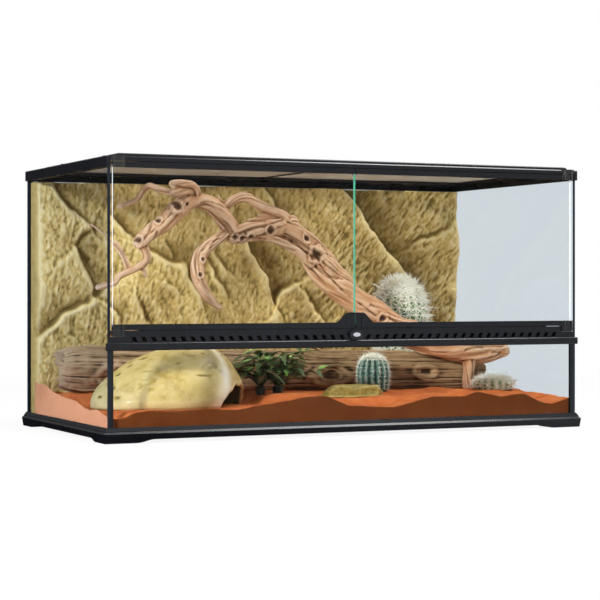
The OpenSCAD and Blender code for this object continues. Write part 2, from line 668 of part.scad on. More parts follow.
// Crest of the sand along the front glass: x, height
sand_front = [[-445, 38], [-413, 38], [-380, 50], [-350, 46], [-300, 50], [-200, 52], [-100, 66], [-50, 68], [-10, 50],
    [80, 43], [160, 61], [220, 60], [250, 68], [292, 58], [345, 62], [380, 47], [405, 42], [445, 54]];
// Crest along the background: x, height
sand_rear = [[-445, 82], [-300, 76], [-100, 70], [100, 68], [300, 66], [445, 64]];
// Crest of the narrow bank along the left pane: y, height
sand_left = [[-220, 42], [-176, 48], [-150, 52], [-138, 50], [-82, 50], [-66, 55], [-40, 60], [24, 62], [73, 66], [123, 80], [194, 83]];
bank_w = 14.5;
// Level ground under what stands on the sand: two ends, radius, height
pads = [
    [log_a, log_b, log_r + 20, bed_z], [large_cactus_c, large_cactus_c, large_cactus_r + 14, bed_z],
    [small_cactus_c, small_cactus_c, small_cactus_r + 14, bed_z],
    [low_cactus_c, low_cactus_c, low_cactus_r + 12, bed_z], [plant_c, plant_c, 40, bed_z], [stub_c, stub_c, 34, bed_z],
    [cave_c - [50, 0], cave_c + [50, 0], cave_ry + 22, cave_z], [stone_c - [44, 0], stone_c + [44, 0], 40, stone_z]];
pad_blend = 24;

function seg_dist(p, a, b) = let (ab = b - a, l2 = ab * ab, t = l2 == 0 ? 0 : min(1, max(0, (p - a) * ab / l2)))
    norm(p - a - ab * t);
function settled(z, p, i = 0) = i == len(pads) ? z :
    settled(mix(pads[i][3], z, ease((seg_dist(p, pads[i][0], pads[i][1]) - pads[i][2]) / pad_blend)), p, i + 1);
function ground(x, y) = let (t = ease((y + inner_y) / (2 * inner_y - foam_t)))
    settled(mix(lookup(x, sand_front), lookup(x, sand_rear), t) + 2.5 * sin(2.3 * x + 1.1 * y) * t * (1 - t) * 4, [x, y]);
function sand_height(x, y) = mix(lookup(y, sand_left), ground(x, y), ease((x + inner_x) / bank_w));

module substrate() color([0.76, 0.35, 0.17]) {
    nx = 60;
    ny = 28;
    x1 = inner_x - bond_gap;
    y0 = -inner_y + bond_gap;
    y1 = foam_back - foam_t - bond_gap;
    skin([for (j = [0:ny]) let (y = mix(y0, y1, j / ny))
        concat([for (i = [0:nx]) let (x = mix(-x1, x1, i / nx)) [x, y, sand_height(x, y)]],
               [[x1, y, floor_top], [-x1, y, floor_top]])]);
}

// Furnishings ----------------------------------------------------------------

module log() color([0.52, 0.44, 0.35]) {
    rings = 16;
    sides = 16;
    along = (log_b - log_a) / norm(log_b - log_a);
    across = [-along[1], along[0]];
    // radius along the log: a blunt broken end, a thick butt, then a slow taper
    radius = [[0, 0.45], [0.02, 0.8], [0.06, 1], [0.3, 0.9], [0.6, 0.84], [0.93, 0.8], [0.98, 0.68], [1, 0.42]];
    skin([for (i = [0:rings]) let (t = ease(i / rings), c = mix(log_a, log_b, t), r = log_r * lookup(t, radius))
        [for (k = [0:sides - 1]) let (a = 360 * k / sides,
                                      rr = r * (1 + 0.05 * sin(3 * a + 90 * t) + 0.04 * sin(5 * a - 500 * t)),
                                      p = c + across * rr * cos(a))
            [p[0], p[1], max(bed_z, bed_z + log_r * mix(0.98, 0.72, t) + rr * sin(a))]]]);
}

// A point of a limb [x, y, z, radius], where it lies in this box
function fitted(p) = [p[0] * branch_fit[0], p[1] * branch_fit[1]];

// A piece of branch: rounded segments between points [x, y, z, radius]
module limb(points) for (i = [0:len(points) - 2]) hull() for (p = [points[i], points[i + 1]])
    translate([fitted(p)[0], fitted(p)[1], p[2]]) sphere(r = p[3], $fn = 10);

trunk = [[413, -30, 134, 16], [383, -26, 135, 25], [343, -20, 139, 29], [298, -14, 147, 28], [250, -8, 159, 28],
         [203, -2, 176, 27], [171, 6, 197, 26], [140, 12, 217, 26], [111, 18, 239, 27], [80, 22, 266, 29],
         [59, 26, 291, 30], [37, 30, 322, 27], [14, 34, 346, 23], [-10, 40, 363, 20]];
upper_arm = [[-10, 40, 366, 17], [-20, 42, 387, 12], [-57, 44, 403, 10.5], [-86, 46, 419, 10.5], [-111, 48, 415, 9.5], [-140, 48, 396, 10]];
lower_arm = [[-1, 42, 367, 19], [-49, 40, 360, 19], [-88, 38, 356, 19], [-117, 38, 352, 18], [-126, 42, 370, 17],
             [-140, 46, 389, 16], [-159, 48, 406, 14], [-180, 50, 412, 13.5], [-204, 48, 406, 15], [-228, 46, 391, 18],
             [-250, 44, 370, 16], [-272, 40, 356, 14.5], [-298, 36, 335, 13]];
tail = [[-298, 36, 335, 10], [-288, 34, 318, 8], [-289, 32, 302, 7.5], [-305, 28, 291, 7.5], [-324, 24, 282, 7],
        [-344, 20, 274, 6.5], [-354, 16, 262, 6], [-387, 8, 255, 5.5]];
fork = [[-326, 24, 284, 4], [-337, 28, 312, 3], [-361, 36, 344, 2.5], [-388, 44, 367, 2]];
spur = [[-320, 24, 287, 3], [-333, 28, 316, 3], [-345, 32, 338, 2]];
crown_twig = [[-199, 60, 419, 8], [-209, 80, 425, 7.5], [-235, 110, 435, 6.5], [-248, 125, 442, 7], [-257, 140, 429, 6.5],
              [-265, 150, 416, 5.5], [-293, 165, 404, 4.5]];
curl = [[-189, 50, 417, 11], [-188, 44, 428, 9.5], [-198, 38, 438, 8.5], [-216, 32, 440, 8.5], [-239, 26, 440, 7.5]];
low_curl = [[-196, 42, 430, 7], [-206, 38, 430, 6.5], [-224, 30, 427, 6], [-244, 24, 423, 5]];
hanging_arm = [[-126, 38, 354, 12], [-140, 34, 348, 10.5], [-168, 26, 332, 11], [-186, 20, 317, 12.5], [-196, 14, 298, 13.5],
               [-198, 8, 277, 13.5], [-192, 4, 255, 12], [-178, 2, 234, 10], [-160, 0, 218, 6]];

module branch() color([0.75, 0.56, 0.42]) {
    for (part = [trunk, upper_arm, lower_arm, tail, fork, spur, crown_twig, curl, low_curl, hanging_arm]) limb(part);
    // root stub that carries the branch on the sand
    limb(root_stub);
    hull() {
        translate([stub_c[0], stub_c[1], root_stub[2][2]]) sphere(r = root_stub[2][3], $fn = 10);
        translate([stub_c[0], stub_c[1], bed_z]) cylinder(r = 12, h = 2, $fn = 12);
    }
}

// Domed hide with an arched doorway at its right end
hide_sides = 32;
door_angle = -27;
door_half_angle = 33;
door_h = 38;
hide_crown = 0.98;                   // the dome closes with a flat cap at this share of its height
function hide_ring(level, shrink) =
    [for (k = [0:hide_sides - 1]) let (
        a = 360 * k / hide_sides,
        off = abs((a - door_angle + 180) % 360 - 180) / door_half_angle,
        sill = off < 1 ? door_h / cave_h * sqrt(1 - off * off) : 0,
        up = level + sill * (1 - level / hide_crown),       // over the doorway the rings close up
        s = sqrt(max(0.02, 1 - pow(up, 2.4))),
        c = cave_c + [50 * pow(up, 1.3), 4 * up],
        wave = 1 + 0.025 * sin(3 * a + 40),
        lean = 1 - 0.4 * ease(1.6 * cos(a)) * pow(up, 1.4))        // the right end slopes in
        [c[0] + (cave_rx * s * wave * lean - shrink) * cos(a), c[1] + (cave_ry * s * wave - shrink) * sin(a),
         cave_z + up * (cave_h - shrink)]];

module hide() color([0.72, 0.67, 0.36]) {
    levels = [0, 0.14, 0.28, 0.42, 0.56, 0.7, 0.82, 0.92, hide_crown];
    n = len(levels) - 1;
    // the skin runs up the inside and down the outside, so that both crowns close as caps
    skin(concat([for (i = [n:-1:0]) hide_ring(levels[i], cave_wall)], [for (i = [0:n]) hide_ring(levels[i], 0)]));
}

module basking_stone() color([0.62, 0.6, 0.26]) translate([stone_c[0], stone_c[1], stone_z]) hull() {
    linear_extrude(2) polygon([[-66, -4], [-52, -24], [0, -29], [48, -25], [67, -6], [58, 18], [10, 26], [-40, 22]]);
    translate([0, 0, stone_h * 0.7]) linear_extrude(1)
        polygon([[-52, -4], [-44, -20], [6, -25], [52, -22], [64, -4], [54, 14], [8, 21], [-34, 16]]);
    translate([2, 0, stone_h - 1]) linear_extrude(1) polygon([[-40, -10], [4, -19], [44, -18], [56, -4], [44, 10], [-20, 12]]);
}

// Ribbed cactus body: outline is a list of [height, radius]
module ribbed(centre, z0, ribs_n, depth, outline) {
    sides = ribs_n * 2;
    translate([centre[0], centre[1], z0]) skin([for (level = outline)
        [for (k = [0:sides - 1]) let (r = level[1] * (k % 2 == 0 ? 1 : 1 - depth), a = 360 * k / sides)
            [r * cos(a), r * sin(a), level[0]]]]);
}
function barrel(h, r, foot) = [for (t = [[0, foot], [0.12, mix(foot, 1, 0.6)], [0.3, 0.97], [0.5, 1], [0.7, 0.93],
    [0.86, 0.74], [0.95, 0.48], [1, 0.16]]) [t[0] * h, t[1] * r]];

module small_cactus() color([0.3, 0.5, 0.45]) ribbed(small_cactus_c, bed_z, 15, 0.16, barrel(small_cactus_h, small_cactus_r, 0.82));
module large_cactus() color([0.45, 0.58, 0.42]) ribbed(large_cactus_c, bed_z, 18, 0.12,
    [for (t = [[0, 0.78], [0.3, 0.84], [0.42, 0.96], [0.6, 1.06], [0.76, 1], [0.88, 0.8], [0.96, 0.5], [1, 0.16]])
        [t[0] * large_cactus_h, t[1] * large_cactus_r]]);
module low_cactus() color([0.42, 0.52, 0.38]) ribbed(low_cactus_c, bed_z, 16, 0.12, barrel(low_cactus_h, low_cactus_r, 0.9));

// Rosette of arching leaves on a dark foot
module plant() color([0.3, 0.45, 0.2]) {
    translate([plant_c[0], plant_c[1], bed_z]) cylinder(r1 = 14, r2 = 9, h = 22, $fn = 12);
    for (i = [0:leaf_count - 1]) {
        turn = i * 137.5;
        reach = 46 + 22 * abs(sin(i * 73));
        rise = 34 + 34 * abs(cos(i * 51));
        steps = 3;
        translate([plant_c[0], plant_c[1], bed_z + 14]) rotate([0, 0, turn])
            for (k = [0:steps - 1]) hull() for (t = [k / steps, (k + 1) / steps])
                translate([4 + reach * t, 0, rise * sin(110 * t)]) rotate([0, 90 - 70 * t, 0])
                    cube([1.4, mix(11, 1.6, pow(t, 1.6)), 1.4], center = true);
    }
}

bottom_frame();
floor_glass();
left_glass();
right_glass();
rear_glass();
front_lower_glass();
silicone_seams();
front_sill();
vent_strip();
top_frame();
left_hinge_bearings();
right_hinge_bearings();
left_door_glass();
left_door_top_rail();
left_door_bottom_rail();
left_door_hinge_blocks();
left_door_pins();
right_door_glass();
right_door_top_rail();
right_door_bottom_rail();
right_door_hinge_blocks();
right_door_pins();
lock_collar();
lock_knob();
lock_badge();
lock_cam();
lock_screw();
lid_frame();
lid_mesh_left();
lid_mesh_right();
lid_clip_front_left();
lid_clip_front_right();
lid_clip_rear_left();
lid_clip_rear_right();
inlet_shutter_outer_left();
inlet_shutter_inner_left();
inlet_shutter_inner_right();
inlet_shutter_outer_right();
background();
substrate();
log();
branch();
hide();
basking_stone();
small_cactus();
large_cactus();
low_cactus();
plant();
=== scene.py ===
import itertools
import math
import bpy
import numpy as np
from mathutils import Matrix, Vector


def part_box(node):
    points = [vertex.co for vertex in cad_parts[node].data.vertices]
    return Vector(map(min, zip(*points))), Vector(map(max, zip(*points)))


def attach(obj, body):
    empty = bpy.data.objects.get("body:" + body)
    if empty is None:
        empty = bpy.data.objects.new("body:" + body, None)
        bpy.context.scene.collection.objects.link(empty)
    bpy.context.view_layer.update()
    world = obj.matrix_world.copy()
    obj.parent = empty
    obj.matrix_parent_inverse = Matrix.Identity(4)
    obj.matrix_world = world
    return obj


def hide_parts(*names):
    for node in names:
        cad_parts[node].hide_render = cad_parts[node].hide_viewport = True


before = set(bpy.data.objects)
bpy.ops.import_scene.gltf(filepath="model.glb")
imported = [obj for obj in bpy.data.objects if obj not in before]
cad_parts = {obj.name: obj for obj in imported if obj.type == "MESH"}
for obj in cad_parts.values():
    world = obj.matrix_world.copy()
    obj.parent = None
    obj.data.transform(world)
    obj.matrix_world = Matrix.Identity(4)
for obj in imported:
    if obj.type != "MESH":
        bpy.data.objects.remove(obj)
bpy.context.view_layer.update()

scene = bpy.context.scene
scene.view_settings.view_transform = "Standard"
mm = 0.001
bed = 62.0               # level ground round the log and the cacti, mm


# ---- helpers

def hexColour(text):
    parts = [int(text[i:i + 2], 16) / 255 for i in (1, 3, 5)]
    return [c / 12.92 if c <= 0.04045 else ((c + 0.055) / 1.055) ** 2.4 for c in parts] + [1.0]


def addNode(tree, kind, settings=None, links=None):
    # a link comes from a socket, or from a node's first output
    node = tree.nodes.new("ShaderNode" + kind)
    for key, value in (settings or {}).items():
        if isinstance(value, str) and value.startswith("#"):
            value = hexColour(value)
        if key == "stops":
            ramp = node.color_ramp
            while len(ramp.elements) < len(value):
                ramp.elements.new(0.5)
            for element, (place, colour) in zip(ramp.elements, value):
                element.position = place
                element.color = hexColour(colour)
        elif isinstance(key, int) or key in node.inputs:
            node.inputs[key].default_value = value
        else:
            setattr(node, key, value)
    for key, source in (links or {}).items():
        tree.links.new(getattr(source, "outputs", [source])[0], node.inputs[key])
    return node


def newMaterial(name):
    material = bpy.data.materials.new(name)
    material.use_nodes = True
    material.node_tree.nodes.clear()
    return material, material.node_tree


def placeObject(name, data, place=(0, 0, 0), turn=(0, 0, 0)):
    thing = bpy.data.objects.new(name, data)
    thing.location, thing.rotation_euler = place, turn
    scene.collection.objects.link(thing)
    return thing


def newMesh(name, points, faces):
    mesh = bpy.data.meshes.new(name)
    mesh.from_pydata((np.asarray(points, float) * mm).tolist(), [], faces)
    mesh.validate()
    mesh.update()
    return mesh


def placePiece(mesh, material, node, body="tank", smooth=True):
    # a piece that stands for a node
    mesh.materials.clear()
    mesh.materials.append(material)
    if smooth:
        mesh.shade_smooth()
    piece = placeObject(mesh.name, mesh)
    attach(piece, body)
    if node:
        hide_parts(node)


def appliedMesh(mesh, settings):
    # the mesh after the modifiers in settings, as a new mesh
    work = placeObject("work", mesh)
    for kind, values in settings:
        modifier = work.modifiers.new(kind, kind)
        for key, value in values.items():
            setattr(modifier, key, value)
    result = bpy.data.meshes.new_from_object(work.evaluated_get(bpy.context.evaluated_depsgraph_get()))
    bpy.data.objects.remove(work)
    result.name = mesh.name.replace("raw", "")
    return result


def rowsOf(collection, name, width, kind=np.float32):
    values = np.empty(len(collection) * width, kind)
    collection.foreach_get(name, values)
    return values.reshape(-1, width)


def pointsAndNormals(mesh):
    points = rowsOf(mesh.vertices, "co", 3).astype(float) / mm
    return points, rowsOf(mesh.vertex_normals, "vector", 3).astype(float)


def setPoints(mesh, points):
    mesh.vertices.foreach_set("co", (np.asarray(points) * mm).astype(np.float32).ravel())
    mesh.update()


def mark(mesh, name, values):
    # one number for each point, read by the material with an Attribute node
    mesh.attributes.new(name, "FLOAT", "POINT").data.foreach_set("value", np.asarray(values, np.float32))


def markHollows(mesh, rounds, depth, longest=1e9, halfWidth=1e9):
    # 0.5 where the surface is level, towards 1 in hollows and 0 on crests; depth in mm; the materials paint
    # shade in the hollows and highlight on the crests by it
    # edges over the longest length, such as those down a piece's walls, are left out; the ends are no crest
    points, normals = pointsAndNormals(mesh)
    a, b = rowsOf(mesh.edges, "vertices", 2, np.int32).T
    short = np.linalg.norm(points[a] - points[b], axis=1) < longest
    a, b, n = a[short], b[short], len(points)
    count = (np.bincount(a, minlength=n) + np.bincount(b, minlength=n)).clip(1)
    mean = points
    for _ in range(rounds):
        sums = [np.bincount(a, c[b], n) + np.bincount(b, c[a], n) for c in mean.T]
        mean = np.stack(sums, 1) / count[:, None]
    offset = np.einsum("ij,ij->i", mean - points, normals) * ease((halfWidth - np.abs(points[:, 0])) / 14)
    mark(mesh, "hollow", np.clip(0.5 + 0.5 * offset / depth, 0, 1))


def ease(t):
    return (1 - np.cos(np.pi * np.clip(t, 0, 1))) / 2


def readOff(table, value):
    # a value between the rows of a table
    return np.interp(value, *zip(*table))


def softNoise(points, size, seed=0, octaves=1):
    # smooth noise between -1 and 1; size is the spacing of its lumps, in the points' unit
    total, share, weight = 0, 1.0, 0
    for octave in range(octaves):
        q = np.asarray(points, float) / np.asarray(size) * 2 ** octave + 17.3 * octave
        low = np.floor(q).astype(np.int64)
        f = (q - low) ** 2 * (3 - 2 * (q - low))
        for corner in itertools.product((0, 1), repeat=3):
            i, j, k = np.moveaxis(low + corner, -1, 0)
            n = (i * 374761393 + j * 668265263 + k * 1442695041 + seed * 974634777) & 0xFFFFFFFF
            n = ((n ^ (n >> 13)) * 1274126177) & 0xFFFFFFFF
            value = ((n ^ (n >> 16)) & 0xFFFF) / 32767.5 - 1
            total = total + share * value * np.prod(np.where(corner, f, 1 - f), axis=-1)
        weight += share
        share *= 0.5
    return total / weight


def blurGrid(grid, rounds):
    for _ in range(rounds):
        p = np.pad(grid, 1, mode="edge")
        grid = (p[1:-1, 1:-1] * 2 + p[:-2, 1:-1] + p[2:, 1:-1] + p[1:-1, :-2] + p[1:-1, 2:]) / 6
    return grid


def turnsOf(sides):
    return np.linspace(0, 2 * np.pi, sides, endpoint=False)


def ringAt(x, y, radius, angle, z):
    return np.stack([x + radius * np.cos(angle), y + radius * np.sin(angle), z + 0 * angle], 1)


def gridFaces(rows, columns, wrap=False):
    faces = []
    for i in range(rows - 1):
        for j in range(columns if wrap else columns - 1):
            a, b = i * columns + j, i * columns + (j + 1) % columns
            faces.append((a, b, b + columns, a + columns))
    return faces


def ringSkin(rings):
    # a skin over rings of points, closed at both ends
    count, sides = len(rings), len(rings[0])
    ends = [tuple(range(sides - 1, -1, -1)), tuple((count - 1) * sides + k for k in range(sides))]
    return np.vstack(rings), gridFaces(count, sides, wrap=True) + ends


def joined(skins):
    # many skins as one
    points, faces = [], []
    for p, f in skins:
        faces += [tuple(len(points) + k for k in face) for face in f]
        points += np.asarray(p, float).tolist()
    return points, faces


def closedRelief(surface, axis, level):
    # a grid of points, closed by walls along an axis to a flat underside at level
    rows, columns = surface.shape[:2]
    points, faces = surface.reshape(-1, 3), gridFaces(rows, columns)
    rim = [*range(columns), *[i * columns + columns - 1 for i in range(1, rows)],
           *[(rows - 1) * columns + j for j in range(columns - 2, -1, -1)],
           *[i * columns for i in range(rows - 2, 0, -1)]]
    first, n = len(points), len(rim)
    under = points[rim]
    under[:, axis] = level
    for k in range(n):
        faces.append((rim[(k + 1) % n], rim[k], first + k, first + (k + 1) % n))
    faces.append(tuple(first + k for k in range(n)))
    return np.vstack([points, under]), faces


def fromSegment(x, y, a, b):
    # nearest point on a-b: its share of the way, and the step from it to x, y
    dx, dy = b[0] - a[0], b[1] - a[1]
    t = np.clip(((x - a[0]) * dx + (y - a[1]) * dy) / max(dx * dx + dy * dy, 1e-9), 0, 1)
    return t, x - a[0] - t * dx, y - a[1] - t * dy


def smoothLine(points, spacing):
    # Catmull-Rom through points of any number of values
    p = np.array(points, float)
    p = np.vstack([2 * p[0] - p[1], p, 2 * p[-1] - p[-2]])
    line = []
    for before, a, b, after in zip(p, p[1:], p[2:], p[3:]):
        steps = max(2, int(np.linalg.norm(b[:3] - a[:3]) / spacing))
        for k in range(steps):
            t = k / steps
            line.append(0.5 * (2 * a + (b - before) * t + (2 * before - 5 * a + 4 * b - after) * t ** 2
                               + (3 * a - before - 3 * b + after) * t ** 3))
    return np.array(line + [p[-2]])


def carriedFrames(centres):
    # tangents with two crosswise vectors that turn as little as they can
    tangents = np.gradient(centres, axis=0)
    tangents /= np.linalg.norm(tangents, axis=1)[:, None]
    side = np.array([0, 0, 1.0]) if abs(tangents[0][2]) < 0.9 else np.array([1.0, 0, 0])
    sides = []
    for tangent in tangents:
        side = side - tangent * side.dot(tangent)
        side = side / np.linalg.norm(side)
        sides.append(side)
    return tangents, np.array(sides), np.cross(tangents, sides)


def tube(line, sides):
    # a round skin along x, y, z, radius, with domed ends
    centres, radii = line[:, :3], line[:, 3]
    tangents, u, v = carriedFrames(centres)
    angle = turnsOf(sides)[:, None]
    dome = [(math.sin(a), math.cos(a)) for a in np.radians((25, 52, 80))]
    last = len(line) - 1
    order = [(0, -push, share) for push, share in dome[::-1]] + [(k, 0, 1) for k in range(len(line))] \
        + [(last, push, share) for push, share in dome]
    return ringSkin([centres[k] + tangents[k] * push * radii[k]
                     + share * radii[k] * (np.cos(angle) * u[k] + np.sin(angle) * v[k])
                     for k, push, share in order])


# ---- camera

photoCamera = {
    "place": (-1.4332, -3.0763, 0.2522),
    "heading": 24.98,     # degrees to the right of straight ahead
    "lens": 110.87,
    "shift": -0.019,
}
cameraData = bpy.data.cameras.new("photoCamera")
cameraData.sensor_width = 36
cameraData.lens = photoCamera["lens"]
cameraData.shift_y = photoCamera["shift"]
cameraData.clip_start, cameraData.clip_end = 0.05, 60
turn = (math.radians(90), 0, -math.radians(photoCamera["heading"]))
scene.camera = placeObject("photoCamera", cameraData, photoCamera["place"], turn)


# ---- materials

def texturedMaterial(name, **look):
    # One recipe for the opaque finishes. Sizes in mm:
    # patch: spacing of the colour's slow changes; grain: spacing of the relief; grainDepth: its height
    material, tree = newMaterial(name)
    place = addNode(tree, "TexCoord").outputs["Object"]
    if "coordinates" in look:
        place = addNode(tree, "Attribute", {"attribute_name": look["coordinates"]}).outputs["Vector"]
    if "stretch" in look:
        place = addNode(tree, "Mapping", {"Scale": look["stretch"]}, {"Vector": place})
    patches = addNode(tree, "TexNoise", {"Scale": 1 / (look["patch"] * mm), "Detail": 6, "Roughness": 0.6},
                      {"Vector": place})
    grain = addNode(tree, "TexNoise", {"Scale": 1 / (look["grain"] * mm), "Detail": 4, "Roughness": 0.65},
                    {"Vector": place})
    mixed = addNode(tree, "Math", {"operation": "MULTIPLY_ADD", 1: look.get("grainShare", 0.3)},
                    {0: grain, 2: patches})
    level = addNode(tree, "MapRange", {"From Min": 0.35, "From Max": 0.9}, {"Value": mixed})
    colour = addNode(tree, "ValToRGB", {"stops": look["colours"]}, {"Fac": level})
    # layers over it, each with its share: painted shade in the hollows, painted highlight on the crests,
    # then the named marks and the specks
    layers = []
    for part, low, high in (("hollows", 0.52, 0.95), ("crests", 0.48, 0.1)):
        if part in look:
            paint, most = look[part]
            hollow = addNode(tree, "Attribute", {"attribute_name": "hollow"}).outputs["Fac"]
            share = addNode(tree, "MapRange", {"From Min": low, "From Max": high, "To Max": most},
                            {"Value": hollow})
            layers.append((share, paint))
    for markName, paint in look.get("marks", []):
        layers.append((addNode(tree, "Attribute", {"attribute_name": markName}).outputs["Fac"], paint))
    if "specks" in look:
        paint, size, most = look["specks"]
        cells = addNode(tree, "TexVoronoi", {"Scale": 1 / (size * mm)}, {"Vector": place})
        layers.append((addNode(tree, "Math", {"operation": "LESS_THAN", 1: most}, {0: cells}), paint))
    for share, paint in layers:
        colour = addNode(tree, "Mix", {"data_type": "RGBA", 7: paint}, {0: share, 6: colour}).outputs[2]
    low, high = look["rough"]
    rough = addNode(tree, "MapRange", {"To Min": low, "To Max": high}, {"Value": patches})
    bump = addNode(tree, "Bump", {"Strength": 1.0, "Distance": look["grainDepth"] * mm}, {"Height": grain})
    shader = addNode(tree, "BsdfPrincipled", {
        "Metallic": look.get("metallic", 0.0), "Specular IOR Level": look.get("specular", 0.5),
        "Sheen Weight": look.get("sheen", 0.0), "Subsurface Weight": look.get("subsurface", 0.0),
        "Subsurface Scale": 0.004, "Coat Weight": look.get("coat", 0.0), "Coat Roughness": 0.12},
        {"Base Color": colour, "Roughness": rough, "Normal": bump})
    addNode(tree, "OutputMaterial", links={"Surface": shader})
    return material


def floatGlass(name, tint, gloss, edge, edgeGlow, faceAxis, outerEdgeHighlight=None):
    # clear through its faces, with Fresnel reflections; its edges are drawn opaque in a painted colour with
    # a painted glow, standing in for the light in them, and a door's outer edges get a painted highlight
    material, tree = newMaterial(name)
    surface = addNode(tree, "TexCoord")
    clear = addNode(tree, "BsdfTransparent", {"Color": tint})
    mirror = addNode(tree, "BsdfGlossy", {"Color": "#ffffff", "Roughness": 0.004})
    inside = addNode(tree, "NewGeometry").outputs["Backfacing"]
    # a pane reflects once
    outer = addNode(tree, "MapRange", {"To Min": gloss, "To Max": 0.0}, {"Value": inside})
    limited = addNode(tree, "Math", {"operation": "MULTIPLY", "use_clamp": True},
                      {0: addNode(tree, "Fresnel", {"IOR": 1.5}), 1: outer})
    face = addNode(tree, "MixShader", links={0: limited, 1: clear, 2: mirror})
    place = addNode(tree, "SeparateXYZ", links={"Vector": surface.outputs["Object"]})
    fromMiddle = addNode(tree, "Math", {"operation": "ABSOLUTE"}, {0: place.outputs["X"]})
    isOuter = addNode(tree, "Math", {"operation": "GREATER_THAN", 1: 0.1}, {0: fromMiddle})
    rim = addNode(tree, "Mix", {"data_type": "RGBA", 6: edge, 7: outerEdgeHighlight or edge},
                  {0: isOuter}).outputs[2]
    rimBody = addNode(tree, "BsdfPrincipled", {
        "Roughness": 0.2, "Specular IOR Level": 0.25, "Emission Strength": edgeGlow},
        {"Base Color": rim, "Emission Color": rim})
    normal = addNode(tree, "SeparateXYZ", links={"Vector": surface.outputs["Normal"]})
    facing = addNode(tree, "Math", {"operation": "ABSOLUTE"}, {0: normal.outputs[faceAxis]})
    isEdge = addNode(tree, "Math", {"operation": "LESS_THAN", 1: 0.5}, {0: facing})
    both = addNode(tree, "MixShader", links={0: isEdge, 1: face, 2: rimBody})
    addNode(tree, "OutputMaterial", links={"Surface": both})
    return material


# ABS, injection moulded with a fine spark texture: satin black with soft, broad highlights
blackAbs = texturedMaterial(
    "blackAbsMoulded", patch=60, grain=0.9, grainDepth=0.04, rough=(0.24, 0.32), specular=0.3,
    colours=[(0, "#07080c"), (1, "#0d0f15")])
# the same ABS polished in the mould: hinge bearings and blocks, sharp highlights
polishedAbs = texturedMaterial(
    "blackAbsPolished", patch=40, grain=3, grainDepth=0.02, rough=(0.1, 0.2), coat=0.3,
    colours=[(0, "#08090c"), (1, "#0d0e12")])
# neutral-cure silicone, tooled with a finger: rubbery, uneven sheen
blackSilicone = texturedMaterial(
    "blackSiliconeTooled", patch=30, grain=8, grainDepth=0.2, rough=(0.3, 0.5), specular=0.25,
    colours=[(0, "#08090b"), (1, "#101114")])
# zinc-plated steel, barrel polished
platedSteel = texturedMaterial(
    "zincPlatedSteel", patch=12, grain=0.7, grainDepth=0.02, rough=(0.22, 0.38), metallic=1.0,
    colours=[(0, "#a7a9ac"), (1, "#c4c6c8")])
# nickel-plated inset, brushed along its length: a bright plain oval
brightInset = texturedMaterial(
    "nickelPlatedInset", patch=10, grain=0.8, grainDepth=0.03, stretch=(0.15, 1, 1), rough=(0.25, 0.4),
    metallic=0.9, colours=[(0, "#b4b7bc"), (1, "#dcdee1")])
# woven stainless wire, dulled by heat and dust to a tan grey
screenWire = texturedMaterial(
    "stainlessWireCloth", patch=90, grain=2, grainDepth=0.02, rough=(0.35, 0.55), metallic=0.7,
    colours=[(0, "#8d8377"), (1, "#b3a898")])
# black polyamide gauze that keeps feeder insects in, drawn almost closed so that it also stands in for the
# shade in the vent slots
blackGauze = texturedMaterial(
    "blackPolyamideGauze", patch=20, grain=1, grainDepth=0.02, rough=(0.6, 0.8), specular=0.1,
    colours=[(0, "#050506"), (1, "#0a0a0b")])
sideGlass = floatGlass("floatGlassSide", "#edf1f6", 0.45, "#121a24", 0.0, "X")
frontGlass = floatGlass("floatGlassFront", "#f8f9f7", 0.12, "#3f7f72", 0.05, "Y")
doorGlass = floatGlass("floatGlassDoor", "#f8f9f7", 0.12, "#4aa98f", 0.28, "Y", "#dfe8ec")
bottomGlass = floatGlass("floatGlassFloor", "#d5e2e2", 0.45, "#3f7f72", 0.05, "Z")

# each finish, and words in the names of the nodes that take it
finishes = [
    (blackAbs, "_frame sill strip rail collar clip shutter"), (polishedAbs, "bearings blocks knob"),
    (blackSilicone, "seams"), (platedSteel, "pins cam screw"), (brightInset, "badge"),
    (sideGlass, "left_glass right_glass"), (frontGlass, "lower_glass rear_glass"),
    (doorGlass, "door_glass"), (bottomGlass, "floor_glass")]
for name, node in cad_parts.items():
    for material, words in finishes:
        if any(word in name for word in words.split()):
            node.data.materials.clear()
            node.data.materials.append(material)
print("tank dressed")

# ---- lid screens

screen = {
    "wireGap": 4.0,       # the real cloth has about 1.5 mm; drawn coarser, so that single wires show
    "wire": 0.55,         # width of a wire
    "crimp": 0.3,         # rise and fall where wires cross
    "sag": 2.2,           # between the bars, as heat slackens it
}


def wovenScreen(name, node):
    low, high = [np.array(corner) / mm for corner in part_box(node)]
    stops = [np.arange(low[axis] + 1, high[axis] - 1, screen["wireGap"]) for axis in (0, 1)]
    half = screen["wire"] / 2
    wires = []
    for axis, side in ((0, (0, -half, 0)), (1, (half, 0, 0))):
        along = stops[axis]
        for row, place in enumerate(stops[1 - axis]):
            x, y = (along, place + 0 * along) if axis == 0 else (place + 0 * along, along)
            u, v = (x - low[0]) / (high[0] - low[0]), (y - low[1]) / (high[1] - low[1])
            inner = np.clip(np.minimum(np.minimum(u, 1 - u) * 16, np.minimum(v, 1 - v) * 14), 0, 1)
            wave = 0.65 + 0.35 * np.sin(9 * u + 4 * v) * np.cos(3 * v + 5 * u)
            z = (low[2] + high[2]) / 2 - screen["sag"] * inner * wave * (4 * u * (1 - u)) ** 0.4
            over = (row + np.arange(len(along)) + axis) % 2 * 2 - 1
            c = np.stack([x, y, z + screen["crimp"] * over], 1)
            wires.append(ringSkin(np.stack([c - side, c + (0, 0, half), c + side, c - (0, 0, half)], 1)))
    placePiece(newMesh(name, *joined(wires)), screenWire, node, "lid", smooth=False)


wovenScreen("wireScreenLeft", "lid_mesh_left")
wovenScreen("wireScreenRight", "lid_mesh_right")
print("lid screens woven")
